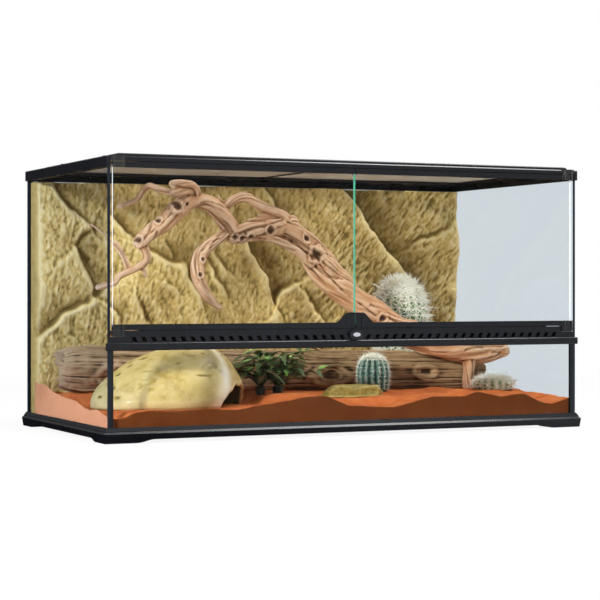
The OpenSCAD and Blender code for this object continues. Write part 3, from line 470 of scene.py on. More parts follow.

# ---- gauze behind the vent slots

# threads nearly touch, so the gauze is a near-solid dark sheet: painted shade behind the slots as well as
# gauze
gauze = {"y": -223.85, "z": (165.7, 181.3), "x": [(-412, -19.6), (19.6, 412)], "thread": 0.9, "gap": 1.05}
half = gauze["thread"] / 2
z0, z1 = gauze["z"]
threads = []
for x0, x1 in gauze["x"]:
    runs = [(x0, z, x1, z, 0, -half) for z in np.arange(z0, z1, gauze["gap"])] \
        + [(x, z0, x, z1, half, 0) for x in np.arange(x0, x1, gauze["gap"])]
    for ax, az, bx, bz, wx, wz in runs:
        corners = [(ax - wx, az - wz), (bx - wx, bz - wz), (bx + wx, bz + wz), (ax + wx, az + wz)]
        threads.append(ringSkin([[(x, gauze["y"] + push, z) for x, z in corners]
                                 for push in (-0.12, 0.12)]))
placePiece(newMesh("ventGauze", *joined(threads)), blackGauze, None, smooth=False)
print("vent gauze made")

# ---- rock background

rock = {
    "halfWidth": 444.5, "back": 219.5, "low": 20, "top": 448, "depth": 25, "flatBelow": 150,
    "slabAngle": -50, "slabStretch": 1.7,
    "step": 1.9,          # spacing of its points
    # slabs: x, z, rise to the right, rise upwards, height; the same as in the solid
    "slabs": [
        (-420, 400, 0.10, -0.04, 6), (-350, 425, 0.12, 0.02, -2), (-385, 290, 0.09, 0.05, 8),
        (-330, 330, -0.04, 0.06, -6), (-390, 190, 0.05, 0.10, 9), (-270, 405, 0.10, -0.05, 4),
        (-200, 350, 0.12, -0.03, 9), (-180, 265, 0.08, 0.07, 3), (-265, 215, 0.06, 0.09, 8),
        (-30, 260, 0.14, 0.03, 10), (0, 420, 0.10, 0.00, 3), (60, 330, 0.10, 0.05, -3),
        (85, 225, 0.11, 0.04, 9),
        (110, 410, 0.14, 0.04, 7), (225, 320, 0.13, 0.05, 11), (325, 385, 0.10, -0.06, 9),
        (395, 260, 0.09, 0.05, 10), (290, 215, 0.05, 0.08, -2), (-90, 165, 0.08, 0.06, 5),
        (180, 165, 0.07, 0.07, 6)],
    # folds: points x, z along the crest, height of the step, width of the hollow beside it
    "folds": [
        ([(-400, 433), (-344, 372)], 9, 26), ([(-344, 372), (-365, 334), (-326, 240)], 10, 30),
        ([(-445, 167), (-380, 205), (-311, 242)], 11, 20), ([(-400, 301), (-357, 342)], 5, 12),
        ([(-293, 391), (-252, 351)], 9, 16), ([(-224, 325), (-149, 291), (-117, 229)], 11, 34),
        ([(-178, 340), (-164, 308)], 6, 10), ([(-192, 283), (-156, 251)], 4, 9),
        ([(-109, 303), (-65, 242)], 8, 12), ([(-90, 316), (-59, 284)], 7, 11),
        ([(-26, 350), (0, 300), (35, 238)], 15, 34), ([(18, 439), (63, 368)], 10, 22),
        ([(42, 215), (95, 271)], 9, 18),
        ([(152, 462), (210, 410), (244, 364), (290, 322), (330, 262)], 18, 36),
        ([(291, 330), (360, 352), (436, 381)], 8, 8), ([(-311, 231), (-283, 190)], 7, 20),
        ([(-244, 231), (-224, 184)], 7, 16), ([(330, 262), (360, 200)], 10, 24),
        ([(100, 250), (150, 190)], 8, 20)],
}


def slabDepths(x, z):
    turn = math.radians(rock["slabAngle"])
    nearest, height = np.full(x.shape, 1e12), np.zeros(x.shape)
    for sx, sz, rx, rz, h in rock["slabs"]:
        a = (x - sx) * math.cos(turn) + (z - sz) * math.sin(turn)
        b = (z - sz) * math.cos(turn) - (x - sx) * math.sin(turn)
        distance = (a / rock["slabStretch"]) ** 2 + b * b
        height = np.where(distance < nearest, h + rx * (x - sx) + rz * (z - sz), height)
        nearest = np.minimum(nearest, distance)
    return height


def foldRelief(x, z):
    relief = np.zeros(x.shape)
    for line, h, width in rock["folds"]:
        best = np.full(x.shape, 1e9)
        signed, along, done = 0, 0, 0
        total = sum(math.dist(a, b) for a, b in zip(line, line[1:]))
        for a, b in zip(line, line[1:]):
            t, px, pz = fromSegment(x, z, a, b)
            d = np.hypot(px, pz)
            side = np.sign(pz * (b[0] - a[0]) - px * (b[1] - a[1]))      # positive to the left of the line
            signed = np.where(d < best, side * d, signed)
            along = np.where(d < best, (done + t * math.dist(a, b)) / total, along)
            best = np.minimum(best, d)
            done += math.dist(a, b)
        fade = np.sin(np.pi * np.clip(along * 0.86 + 0.07, 0, 1)) ** 0.5
        proud = 0.45 * np.exp(-best / (1.4 * width))
        hollow = -0.8 * np.exp(-(best / (1.35 * width)) ** 1.4)
        blend = ease(0.5 + signed / 9)              # the step itself is about 9 mm wide
        relief += h * fade * (proud * (1 - blend) + hollow * blend)
    return relief


def slanted(x, z, degrees):
    # the same points in axes turned by degrees, so that noise can run along a slant
    c, s = math.cos(math.radians(degrees)), math.sin(math.radians(degrees))
    return np.stack([x * c - z * s, 0 * x, x * s + z * c], 2)


edge = rock["halfWidth"]
x, z = np.meshgrid(np.linspace(-edge, edge, int(2 * edge / rock["step"])),
                   np.linspace(rock["low"], rock["top"], int((rock["top"] - rock["low"]) / rock["step"])))
spot = slanted(x, z, 0)
# the folds wander off their straight lines
wanderX = 13 * softNoise(spot, 62, 12) + 4 * softNoise(spot, 17, 13)
wanderZ = 13 * softNoise(spot, 62, 14) + 4 * softNoise(spot, 17, 15)
folds = blurGrid(foldRelief(x + wanderX, z + wanderZ), 3)
waves = softNoise(slanted(x, z, -38), (46, 1, 120), 3, 2) * 11
relief = np.clip(blurGrid(slabDepths(x, z), 70) * 0.7 + folds * 1.3 + waves, -14, 21)
relief *= 0.35 + 0.65 * ease((z - rock["flatBelow"]) / 35)
# the moulding rounds off towards its two ends
depth = 12 + (rock["depth"] + relief - 12) * np.sqrt(ease((edge - np.abs(x)) / 8))
# strokes of the stucco: upright at the left, more slanted and deeper towards the right
upright = softNoise(slanted(x, z, 8), (5.2, 1, 15), 5, 2)
slant = softNoise(slanted(x, z, 38), (5.2, 1, 17), 6, 2)
share = ease((x + 40) / 300 + 0.35 * softNoise(spot, 70, 8))
depth += (upright * (1 - share) + slant * share) * (1.3 + 1.9 * share)
depth += softNoise(slanted(x, z, -20), (20, 1, 34), 7, 2) * 3.4 \
    + softNoise(slanted(x, z, 8), (3.8, 1, 6), 9, 2) * 1.5
surface = np.stack([x, rock["back"] - np.clip(depth, 9, 47), z], 2)
points, faces = closedRelief(surface, 1, rock["back"])
# moulded foam rock, sprayed ochre over olive and dry-brushed: gritty, quite matt; its folds carry real
# darker paint, deepened with painted shade in the hollows, and its crests carry painted highlight
finish = texturedMaterial(
    "mouldedFoamRock", patch=30, grain=2.6, grainDepth=1.7, stretch=(1, 1, 0.5), rough=(0.7, 0.9),
    specular=0.25,
    grainShare=0.9, colours=[(0, "#77591a"), (0.4, "#a98438"), (1, "#dcbd74")],
    hollows=("#5a4616", 0.68), crests=("#f4dfa8", 0.78), marks=[("foldPaint", "#6f5420")])
mesh = newMesh("rockBackground", points, faces)
placePiece(mesh, finish, "background")
markHollows(mesh, 12, 1.3, 8, edge)
# the hollow side of each fold is darker: real darker paint there, laid on heavier as painted shade
paint = np.zeros(len(points))
paint[:x.size] = (np.clip(-folds / 7 + 0.25 * softNoise(spot, 30, 11, 2), 0, 1) * 0.72).ravel()
# the two end walls are darkened with painted shade as well
atEnds = 1 - ease((edge - np.abs(points[:, 0])) / 9)
mark(mesh, "foldPaint", np.maximum(paint, 0.42 * atEnds * (1 + 0.5 * softNoise(points, 9, 16, 2))))
print("rock background made")

# ---- sand

sand = {
    # heights along the front and rear panes: x, height
    "front": [(-445, 38), (-413, 38), (-380, 50), (-350, 46), (-300, 50), (-200, 52), (-100, 66), (-50, 68),
              (-10, 50), (80, 43), (160, 61), (220, 60), (250, 68), (292, 58), (345, 62), (380, 47),
              (405, 42),
              (445, 54)],
    "rear": [(-445, 82), (-300, 76), (-100, 70), (100, 68), (300, 66), (445, 64)],
    # narrow bank along the left pane: y, height
    "left": [(-220, 42), (-176, 48), (-150, 52), (-138, 50), (-82, 50), (-66, 55), (-40, 60), (24, 62),
             (73, 66),
             (123, 80), (194, 83)],
    "bankWidth": 14.5,
    # level ground under the furnishing: from x, y to x, y, radius, height
    "pads": [((-424, 142), (395, 20), 66, bed), ((273, 122), (273, 122), 64, bed),
             ((133, -35), (133, -35), 50, bed),
             ((366, -76), (366, -76), 50, bed), ((-80, -40), (-80, -40), 40, bed),
             ((342, -25), (342, -25), 34, bed),
             ((-350, -110), (-250, -110), 108, 50), ((6, -100), (94, -100), 40, 58)],
    "halfWidth": 444.5, "y0": -219.5, "y1": 194, "floor": 20.4, "step": 3.6,
    "ripple": 1.5,        # height of the small wind-blown lumps
}
edge, y0, y1 = sand["halfWidth"], sand["y0"], sand["y1"]
x, y = np.meshgrid(np.linspace(-edge, edge, int(2 * edge / sand["step"])),
                   np.linspace(y0, y1, int((y1 - y0) / sand["step"])))
t = ease((y + 220) / 415)
z = readOff(sand["front"], x) * (1 - t) + readOff(sand["rear"], x) * t
z += 10 * np.sin(np.radians(2.3 * x + 1.1 * y)) * t * (1 - t)
for a, b, radius, level in sand["pads"]:
    _, px, py = fromSegment(x, y, a, b)
    share = ease((np.hypot(px, py) - radius) / 24)
    z = level * (1 - share) + z * share
share = ease((x + edge) / sand["bankWidth"])
z = blurGrid(readOff(sand["left"], y) * (1 - share) + z * share, 3)
spot = np.stack([x, y, 0 * x], 2)
z += sand["ripple"] * (2.2 * softNoise(spot, 38, 21, 3) + 0.7 * softNoise(spot, 9, 23, 2))
points, faces = closedRelief(np.stack([x, y, z], 2), 2, sand["floor"])
# dry desert sand, iron red, 0.3 mm grains drawn at 1.2 mm so that they show
finish = texturedMaterial(
    "redDesertSand", patch=26, grain=1.2, grainDepth=0.5, rough=(0.85, 0.97), specular=0.05,
    grainShare=0.55,
    colours=[(0, "#9a4620"), (0.5, "#b55a2c"), (1, "#cf7744")], specks=("#eba87c", 2.6, 0.1),
    marks=[("pressedFace", "#4a2002"), ("dryFace", "#ffb284")])
mesh = newMesh("sandBed", points, faces)
placePiece(mesh, finish, "substrate")
# painted shade on the face against the front pane, painted light on the faces against the side panes
mark(mesh, "pressedFace", np.where(points[:, 1] < y0 + 0.1, 0.9, 0))
mark(mesh, "dryFace", np.where(np.abs(points[:, 0]) > edge - 0.1, 0.92, 0))
print("sand laid")

# ---- log

log = {
    "start": (-424, 142), "end": (395, 20), "radius": 46, "rings": 200, "sides": 168,
    # share of its length, radius share
    "taper": [(0, 0.8), (0.02, 0.93), (0.06, 1), (0.3, 0.9), (0.6, 0.84), (0.93, 0.8), (0.98, 0.72),
              (1, 0.6)],
    # the broken butt steps in towards a dark hollow: radius share, depth
    "butt": [(0.4, 30), (0.66, 12), (0.72, 10), (0.9, 2)],
    "groove": 4.6,        # depth of the weathered grooves
    # knots in its side: share of its length, angle round it from the rear, radius, depth
    "knots": [(0.13, 200, 22, 5), (0.62, 196, 19, 5), (0.55, 170, 10, 3), (0.71, 215, 11, 3),
              (0.3, 150, 14, 4),
              (0.85, 185, 13, 4)],
}
start, end = np.array(log["start"], float), np.array(log["end"], float)
length = np.linalg.norm(end - start)
along = (end - start) / length
across = np.array([-along[1], along[0]])
angle = turnsOf(log["sides"])
rings = []
steps = [(0, *step) for step in log["butt"]]
steps += [(k / log["rings"], 1, 0) for k in range(log["rings"] + 1)]
for t, inward, push in steps:
    radius = log["radius"] * readOff(log["taper"], t)
    polar = ringAt(0, 0, 30, angle, t * length)
    r = radius * (1 + 0.05 * np.sin(3 * angle + math.pi / 2 * t) + 0.03 * np.sin(5 * angle - 8.7 * t)) - 2
    r -= log["groove"] * np.clip(-softNoise(polar, (8, 8, 170), 31, 2) * 1.9, 0, 1) ** 1.4
    r += 2.2 * softNoise(polar, (16, 16, 90), 33, 2) + 1.3 * softNoise(polar, (14, 14, 22), 35, 2)
    r -= 2.6 * np.clip(-softNoise(polar, (2.6, 2.6, 75), 32, 2) * 1.8, 0, 1)
    for share, degrees, size, height in log["knots"]:
        round = (angle - math.radians(degrees) + np.pi) % (2 * np.pi) - np.pi
        gap = np.hypot((t - share) * length / 1.7, round * radius) / size
        gap *= 1 + 0.2 * softNoise(polar, 12, 36)
        r += height * (0.9 * np.exp(-((gap - 1) / 0.28) ** 2) - np.exp(-(gap / 0.5) ** 2)
                       + 0.5 * np.exp(-((gap - 0.6) / 0.1) ** 2))
    if t < 0.12:                          # splintered layers at the butt
        layer = np.round(softNoise(polar * (1, 1, 0), (11, 11, 1), 37) * 3) / 3
        push = push + (1 - t / 0.12) ** 2 * (9 + 9 * layer)
    if t > 0.97:
        push = (0.97 - t) / 0.03 * 6 * softNoise(polar * (1, 1, 0), (9, 9, 1), 39)
    r *= inward
    x, y = start[:, None] + along[:, None] * (t * length + push) + across[:, None] * (r * np.cos(angle))
    z = bed + np.maximum(0.2, log["radius"] * (0.98 - 0.26 * t) + r * np.sin(angle))
    rings.append(np.stack([x, y, z], 1))
# grey weathered softwood: silver-brown late wood standing proud of its grooves; painted shade in the
# grooves and hollows, painted highlight on the crests
finish = texturedMaterial(
    "weatheredSoftwood", patch=16, grain=2.6, grainDepth=0.7, stretch=(0.1, 1, 1), rough=(0.75, 0.92),
    specular=0.2, grainShare=0.6, colours=[(0, "#4a341e"), (0.45, "#7a5e40"), (1, "#a88a66")],
    hollows=("#24180e", 0.95), crests=("#c4a988", 0.55))
mesh = newMesh("weatheredLog", *ringSkin(rings))
placePiece(mesh, finish, "log")
markHollows(mesh, 6, 1.1)
print("log made")

# ---- branch

branch = {
    "voxel": 2.1,
    # limbs: x, y, z, radius
    "limbs": {
        "trunk": [
            (413, -30, 134, 15), (383, -26, 135, 24), (343, -20, 139, 28), (298, -14, 147, 27),
            (250, -8, 159, 27),
            (203, -2, 176, 26), (171, 6, 197, 25), (140, 12, 217, 25), (111, 18, 239, 26),
            (80, 22, 266, 28),
            (59, 26, 291, 29), (37, 30, 322, 26), (14, 34, 346, 23), (-10, 40, 363, 20)],
        "upperArm": [
            (-10, 40, 366, 17), (-20, 42, 387, 12), (-57, 44, 403, 10.5), (-86, 46, 419, 10.5),
            (-111, 48, 415, 9.5), (-140, 48, 396, 10)],
        "lowerArm": [
            (-1, 42, 367, 19), (-49, 40, 360, 19), (-88, 38, 356, 19), (-117, 38, 352, 18),
            (-126, 42, 370, 17),
            (-140, 46, 389, 16), (-159, 48, 406, 14), (-180, 50, 412, 13.5), (-204, 48, 406, 15),
            (-228, 46, 391, 18), (-250, 44, 370, 16), (-272, 40, 356, 14.5), (-298, 36, 335, 13)],
        "tail": [
            (-298, 36, 335, 10), (-288, 34, 318, 8), (-289, 32, 302, 7.5), (-305, 28, 291, 7.5),
            (-324, 24, 282, 7), (-344, 20, 274, 6.5), (-354, 16, 262, 6), (-387, 8, 255, 5.5)],
        "fork": [(-326, 24, 284, 4), (-337, 28, 312, 3.4), (-361, 36, 344, 2.8), (-388, 44, 367, 2.2)],
        "spur": [(-320, 24, 287, 3.4), (-333, 28, 316, 3), (-345, 32, 338, 2.4)],
        "crownTwig": [
            (-199, 60, 419, 8), (-209, 80, 425, 7.5), (-235, 110, 435, 6.5), (-248, 125, 442, 7),
            (-257, 140, 429, 6.5), (-265, 150, 416, 5.5), (-293, 165, 404, 4.5)],
        "curl": [(-189, 50, 417, 11), (-188, 44, 428, 9.5), (-198, 38, 438, 8.5), (-216, 32, 440, 8.5),
                 (-239, 26, 440, 7.5)],
        "lowCurl": [(-196, 42, 430, 7), (-206, 38, 430, 6.5), (-224, 30, 427, 6), (-244, 24, 423, 5)],
        "hangingArm": [
            (-126, 38, 354, 12), (-140, 34, 348, 10.5), (-168, 26, 332, 11), (-186, 20, 317, 12.5),
            (-196, 14, 298, 13.5), (-198, 8, 277, 13.5), (-192, 4, 255, 12), (-178, 2, 234, 10),
            (-160, 0, 218, 6)],
        "rootStub": [(346, -22, 140, 20), (343, -25, 104, 13), (341, -24, 80, 11), (342, -25, 67, 12)],
        "nub": [(-136, 50, 402, 7), (-140, 50, 414, 5), (-141, 50, 422, 2.5)],
        "tailNub": [(-300, 30, 296, 5), (-293, 28, 282, 4.5), (-291, 27, 274, 3)],
        "splinterLow": [(-18, 36, 374, 7), (-50, 38, 381, 4), (-88, 38, 379, 2.2)],
        "splinterHigh": [(-22, 38, 380, 6), (-48, 40, 392, 3.4), (-74, 42, 400, 2.2)],
        "splinterShort": [(-28, 36, 378, 4), (-52, 38, 387, 2.6), (-68, 39, 388, 2.2)],
        "plank": [(-62, 30, 348, 6), (-30, 22, 338, 8), (0, 16, 322, 9), (28, 12, 296, 6)],
    },
    # knot holes: place, radius, depth
    "knots": [
        (-228, 36, 401, 10, 5), (-265, 34, 375, 6, 4), (-304, 30, 338, 7, 5), (-190, 8, 305, 5, 4),
        (-198, 0, 277, 5, 4), (-49, 24, 360, 7, 4), (-119, 26, 345, 6, 5), (-104, 24, 344, 6, 5),
        (-88, 24, 346, 6, 4), (19, 10, 346, 6, 5), (37, 2, 315, 11, 8), (163, -20, 197, 7, 5),
        (-209, 34, 405, 4, 3),
        (-100, 24, 352, 4, 3)],
    # open cracks: points, width, depth
    "cracks": [
        ([(37, 0, 310), (42, -2, 296), (52, -4, 280), (90, -8, 244), (126, -14, 219), (149, -18, 202)],
         2.6, 7),
        ([(-130, 24, 345), (-100, 22, 343), (-60, 20, 343)], 3.4, 6),
        ([(-190, 8, 322), (-168, 16, 336), (-150, 24, 344)], 2.2, 4),
        ([(-199, 0, 296), (-203, 0, 262)], 2.2, 4),
        ([(-240, 34, 388), (-268, 32, 362), (-296, 28, 342)], 2.2, 4),
        ([(-30, 20, 366), (-80, 22, 366)], 2, 3),
        ([(190, -28, 188), (270, -34, 155), (360, -46, 140)], 2, 4),
        ([(150, 44, 250), (90, 50, 290), (30, 60, 330)], 2.4, 5),
        ([(-140, 34, 392), (-170, 38, 412)], 1.8, 2.5)],
}
skins, samples = [], []
for number, limb in enumerate(branch["limbs"].values()):
    line = smoothLine(limb, 3)
    skins.append(tube(line, 24))
    _, u, v = carriedFrames(line[:, :3])
    run = np.cumsum(np.linalg.norm(np.diff(line[:, :3], axis=0), axis=1))
    samples.append(np.column_stack([line, u, v, 700 * number + np.append(0, run)]))
samples = np.vstack(samples)
mesh = appliedMesh(newMesh("rawdriftwoodBranch", *joined(skins)), [
    ("REMESH", {"mode": "VOXEL", "voxel_size": branch["voxel"] * mm}),
    ("SMOOTH", {"factor": 0.5, "iterations": 8})])
p, n = pointsAndNormals(mesh)
owner = np.empty(len(p), int)
for low in range(0, len(p), 4000):
    part = p[low:low + 4000, None]
    owner[low:low + 4000] = (np.linalg.norm(part - samples[:, :3], axis=2) - samples[:, 3]).argmin(1)
near = samples[owner]
offset, r, run = p - near[:, :3], near[:, 3], near[:, 10]
turn = np.arctan2((offset * near[:, 7:10]).sum(1), (offset * near[:, 4:7]).sum(1)) + run / 90
wood = np.stack([np.cos(turn) * r, np.sin(turn) * r, run / 7], 1)          # round each limb and along it
flutes = softNoise(wood, (9, 9, 8), 43, 2)
fibres = softNoise(wood, (3.4, 3.4, 5), 45, 2)
seams = np.clip(1 - np.abs(softNoise(wood, (13, 13, 17), 44, 2)) / 0.13, 0, 1)
seams *= softNoise(p, 60, 46) > -0.25
move = softNoise(p, 34, 41, 2) * np.clip(r * 0.16, 0.6, 4) + flutes * np.clip(r * 0.14, 0.5, 3.2)
move -= (1.8 * np.clip(-fibres, 0, 1) ** 1.4 + 2.4 * seams) * np.clip(r / 14, 0.3, 1)
faceFront = np.clip(n @ (-0.42, -0.9, 0.05) * 3, 0, 1)
# painted shade: darker in the seams, knot holes and cracks, the deeper they go
dark = seams * 0.4
for x, y, z, radius, depth in branch["knots"]:
    d = np.linalg.norm((p - (x, y, z)) * (1, 0.45, 1), axis=1) / radius
    d *= 1 + 0.45 * softNoise(p, 8, 48, 2)
    well = np.clip(1 - d ** 2, 0, 1) ** 1.2 * faceFront
    rim = (np.exp(-((d - 1.3) / 0.3) ** 2) * 0.35 - np.exp(-((d - 1.85) / 0.2) ** 2) * 0.16) * faceFront
    move += depth * (rim - well)
    dark = np.maximum(dark, np.clip(well * 1.6, 0, 0.85))
for line, width, depth in branch["cracks"]:
    best = 1e9
    for a, b in zip(np.array(line, float), np.array(line[1:], float)):
        t = np.clip(((p - a) @ (b - a)) / ((b - a) @ (b - a)), 0, 1)[:, None]
        best = np.minimum(best, np.linalg.norm((p - a - t * (b - a)) * (1, 0.2, 1), axis=1))
    best = best + 1.6 * softNoise(p, 7, 47, 2)
    facing = np.clip((n[:, 1] if line[0][1] > 40 else -n[:, 1]) * 3, 0, 1)
    well = np.exp(-(best / (0.6 * width)) ** 2) * (0.55 + 0.45 * softNoise(p, 16, 49)) * facing
    move -= depth * well * np.clip(r / 12, 0.3, 1)
    dark = np.maximum(dark, np.clip(well * 1.3 - 0.3, 0, 1) * 0.9)
p = p + n * move[:, None]
p[:, 2] = np.maximum(p[:, 2], bed + 0.3)
setPoints(mesh, p)
mark(mesh, "knot", dark)
woodPlaces = mesh.attributes.new("wood", "FLOAT_VECTOR", "POINT").data
woodPlaces.foreach_set("vector", (wood * mm).astype(np.float32).ravel())
# sand-blasted hardwood root: pinkish tan, silky, fine grain along each limb; painted shade in its knot
# holes, cracks, seams and hollows, painted highlight on its crests
finish = texturedMaterial(
    "sandblastedRoot", patch=16, grain=1.4, grainDepth=0.4, coordinates="wood", rough=(0.55, 0.75),
    specular=0.3,
    grainShare=0.5, colours=[(0, "#7e4c2a"), (0.45, "#ad754a"), (1, "#d2a47c")],
    hollows=("#522e18", 0.8), crests=("#ecd0b6", 0.55), marks=[("knot", "#341d10")])
placePiece(mesh, finish, "branch")
markHollows(mesh, 8, 1.4)
print("branch made")

# ---- hide

hide = {
    "centre": (-300, -110), "rx": 137, "ry": 86, "height": 104, "level": 50, "wall": 5, "sides": 160,
    "rows": 44,
    "doorAngle": -27, "doorHalfAngle": 33, "doorHeight": 38, "crown": 0.985,
}
hideX, hideY = hide["centre"]


def hideRings(shrink):
    angle = turnsOf(hide["sides"])
    off = np.abs((np.degrees(angle) - hide["doorAngle"] + 180) % 360 - 180) / hide["doorHalfAngle"]
    jag = softNoise(ringAt(0, 0, 60, angle, 0), 6, 57) * 5
    sill = hide["doorHeight"] * np.sqrt(np.clip(1 - off * off, 0, 1)) + np.where(off < 0.9, jag, 0)
    sill = np.where(off < 1, sill, 0) / hide["height"]
    rings = []
    for level in np.linspace(0, 1, hide["rows"]) ** 0.8 * hide["crown"]:
        # over the doorway the rings close up
        up = level + sill * (1 - level / hide["crown"])
        s = np.sqrt(np.maximum(0.02, 1 - up ** 2.4)) * (1 + 0.025 * np.sin(3 * angle + math.radians(40)))
        lean = 1 - 0.4 * ease(1.6 * np.cos(angle)) * up ** 1.4          # the right end slopes in
        x = hideX + 50 * up ** 1.3 + (hide["rx"] * s * lean - shrink) * np.cos(angle)
        y = hideY + 4 * up + (hide["ry"] * s - shrink) * np.sin(angle)
        rings.append(np.stack([x, y, hide["level"] + up * (hide["height"] - shrink)], 1))
    return np.array(rings)


outer = hideRings(0)
out = outer - (hideX + 20, hideY, hide["level"])
out /= np.linalg.norm(out, axis=2)[..., None]
# facets
lift = 1.5 + softNoise(outer, (90, 90, 60), 51, 2) * 4.0 + softNoise(outer, (26, 26, 18), 54, 2) * 1.1
# chips
lift -= 6 * np.clip(softNoise(outer, (17, 17, 7), 55) - 0.52, 0, 1)
scratched = softNoise(outer, 30, 58) > 0.35
lift -= 1.1 * np.clip(1 - np.abs(softNoise(outer, (40, 40, 16), 53)) / 0.04, 0, 1) * scratched
# pits
lift += softNoise(outer, 6, 59) * 0.25
outer = outer + out * (lift * np.clip((outer[..., 2] - hide["level"]) / 12, 0, 1))[..., None]
points, faces = ringSkin([*hideRings(hide["wall"])[::-1], *outer])
# cast polyester resin, sprayed to look like sandstone: satin; painted highlight on its crests, painted
# shade in its hollows
finish = texturedMaterial(
    "castResinSandstone", patch=30, grain=2.4, grainDepth=1.1, rough=(0.4, 0.56), specular=0.4, coat=0.12,
    grainShare=0.7, colours=[(0, "#6f5b1f"), (0.35, "#987d34"), (0.7, "#b59849"), (1, "#ccb269")],
    hollows=("#54431c", 0.8), crests=("#ecdcae", 0.4),
    marks=[("sprayedBand", "#6d5c2e"), ("wornBand", "#fbf6ea")])
mesh = newMesh("resinHide", points, faces)
placePiece(mesh, finish, "hide")
markHollows(mesh, 6, 0.9)
# painted shade inside the hide and in a band beside the doorway, then a painted highlight band; both bands
# run up to the crown
x, y, z = points.T
share = np.clip((z - hide["level"]) / hide["height"], 0, 1)
heading = np.degrees(np.arctan2((y - hideY - 4 * share) / hide["ry"],
                                (x - hideX - 50 * share ** 1.3) / hide["rx"]))
uneven = 0.75 + 0.25 * softNoise(points, 22, 52, 2)
inside = np.arange(len(points)) < len(points) // 2
mark(mesh, "sprayedBand", np.where(inside, 0.9, 0.8 * np.exp(-((heading + 77) / 9) ** 2) * uneven))
mark(mesh, "wornBand", np.where(inside, 0, 0.95 * np.exp(-((heading + 57) / 9) ** 2) * uneven))
print("hide made")

# ---- basking stone

stone = {
    "centre": (50, -100), "level": 58, "height": 22, "sides": 120,
    # outline at the foot and at the top, and the small flat crown
    "foot": [(-66, -4), (-52, -24), (0, -29), (48, -25), (67, -6), (58, 18), (10, 26), (-40, 22)],
    "shoulder": [(-52, -4), (-44, -20), (6, -25), (52, -22), (64, -4), (54, 14), (8, 21), (-34, 16)],
    "crown": [(-40, -10), (4, -19), (44, -18), (56, -4), (44, 10), (-20, 12)],
    # stations: share of the height, outline, next outline, share of the next one
    "stations": [
        (0, "foot", "foot", 0), (0.08, "foot", "foot", 0), (0.25, "foot", "shoulder", 0.4),
        (0.45, "foot", "shoulder", 0.75), (0.62, "foot", "shoulder", 1), (0.74, "shoulder", "crown", 0.25),
        (0.86, "shoulder", "crown", 0.65), (0.94, "shoulder", "crown", 1)],
}


def outlineReach(outline, angle):
    # distance from the middle to a convex outline in each direction
    reach = np.full(angle.shape, 1e9)
    for a, b in zip(outline, outline[1:] + outline[:1]):
        nx, ny = b[1] - a[1], a[0] - b[0]
        facing = nx * np.cos(angle) + ny * np.sin(angle)
        far = (nx * a[0] + ny * a[1]) / np.maximum(facing, 1e-6)
        reach = np.where(facing > 1e-6, np.minimum(reach, far), reach)
    return reach


angle = turnsOf(stone["sides"])
reach = {name: outlineReach(stone[name], angle) for name in ("foot", "shoulder", "crown")}
rings = [(t * stone["height"], reach[a] * (1 - share) + reach[b] * share)
         for t, a, b, share in stone["stations"]]
rings += [(stone["height"] * (1 - 0.06 * share), reach["crown"] * share)
          for share in (0.8, 0.6, 0.4, 0.2, 0.06)]
skin = ringSkin([ringAt(*stone["centre"], r, angle, stone["level"] + z) for z, r in rings])
mesh = appliedMesh(newMesh("rawresinStone", *skin), [("REMESH", {"mode": "VOXEL", "voxel_size": 1.6 * mm})])
p, n = pointsAndNormals(mesh)
move = softNoise(p, (26, 20, 12), 61, 2) * 2.6 - np.abs(softNoise(p, (30, 30, 9), 63)) * 2.4
move += softNoise(p, 5, 65, 2) * 0.6
p = p + n * (move * np.clip((p[:, 2] - stone["level"]) / 4, 0, 1))[:, None]
p[:, 2] = np.maximum(p[:, 2], stone["level"] + 0.2)
setPoints(mesh, p)
# cast resin again, with more green in its paint; painted shade in its hollows, painted highlight on its
# crests
finish = texturedMaterial(
    "castResinMossStone", patch=14, grain=2.2, grainDepth=0.4, rough=(0.45, 0.65), specular=0.4,
    grainShare=0.4,
    colours=[(0, "#645619"), (0.5, "#8c792c"), (1, "#b29c46")], hollows=("#4c3f18", 0.8),
    crests=("#dcca80", 0.5))
placePiece(mesh, finish, "basking_stone")
markHollows(mesh, 8, 1.0)
print("stone made")

# ---- cacti

cacti = {
    "small": {
        "centre": (133, -35), "height": 68, "ribs": 15, "groove": 0.2, "seed": 71,
        "outline": [(0, 25.4), (0.12, 28.4), (0.3, 30.1), (0.5, 31), (0.7, 28.8), (0.86, 22.9),
                    (0.95, 14.9), (1, 4.5)],
        "colours": [(0, "#0c2422"), (0.5, "#183e39"), (1, "#2a5a51")], "crest": "#4f8578",
        "areoleGap": 8, "spines": 6, "spineLength": 9, "spineRoot": 0.5, "crown": 1.4},
    "large": {
        "centre": (273, 122), "height": 206, "ribs": 18, "groove": 0.13, "seed": 73,
        "outline": [(0, 39), (0.3, 42), (0.42, 48), (0.6, 53), (0.76, 50), (0.88, 40), (0.96, 25), (1, 8)],
        "colours": [(0, "#2f5c28"), (0.5, "#4c8240"), (1, "#78a862")], "crest": "#9cc088",
        "areoleGap": 13, "spines": 8, "spineLength": 26, "spineRoot": 1.5, "crown": 1.05},
    "low": {
        "centre": (366, -76), "height": 24, "ribs": 16, "groove": 0.13, "seed": 75,
        "outline": [(0, 34), (0.12, 36.3), (0.3, 36.9), (0.5, 38), (0.7, 35.3), (0.86, 28.1), (0.95, 18.2),
                    (1, 6)],
        "colours": [(0, "#54643f"), (0.5, "#7a8a5c"), (1, "#a5b087")], "crest": "#c4caa4",
        "areoleGap": 6, "spines": 9, "spineLength": 15, "spineRoot": 0.7, "crown": 1.0},
}
# horn-like polymer filament: creamy, slightly see-through
spineFinish = texturedMaterial(
    "creamSpineFilament", patch=30, grain=3, grainDepth=0.02, rough=(0.4, 0.6),
    colours=[(0, "#ece8d2"), (0.5, "#f9f7ec"), (1, "#ffffff")])


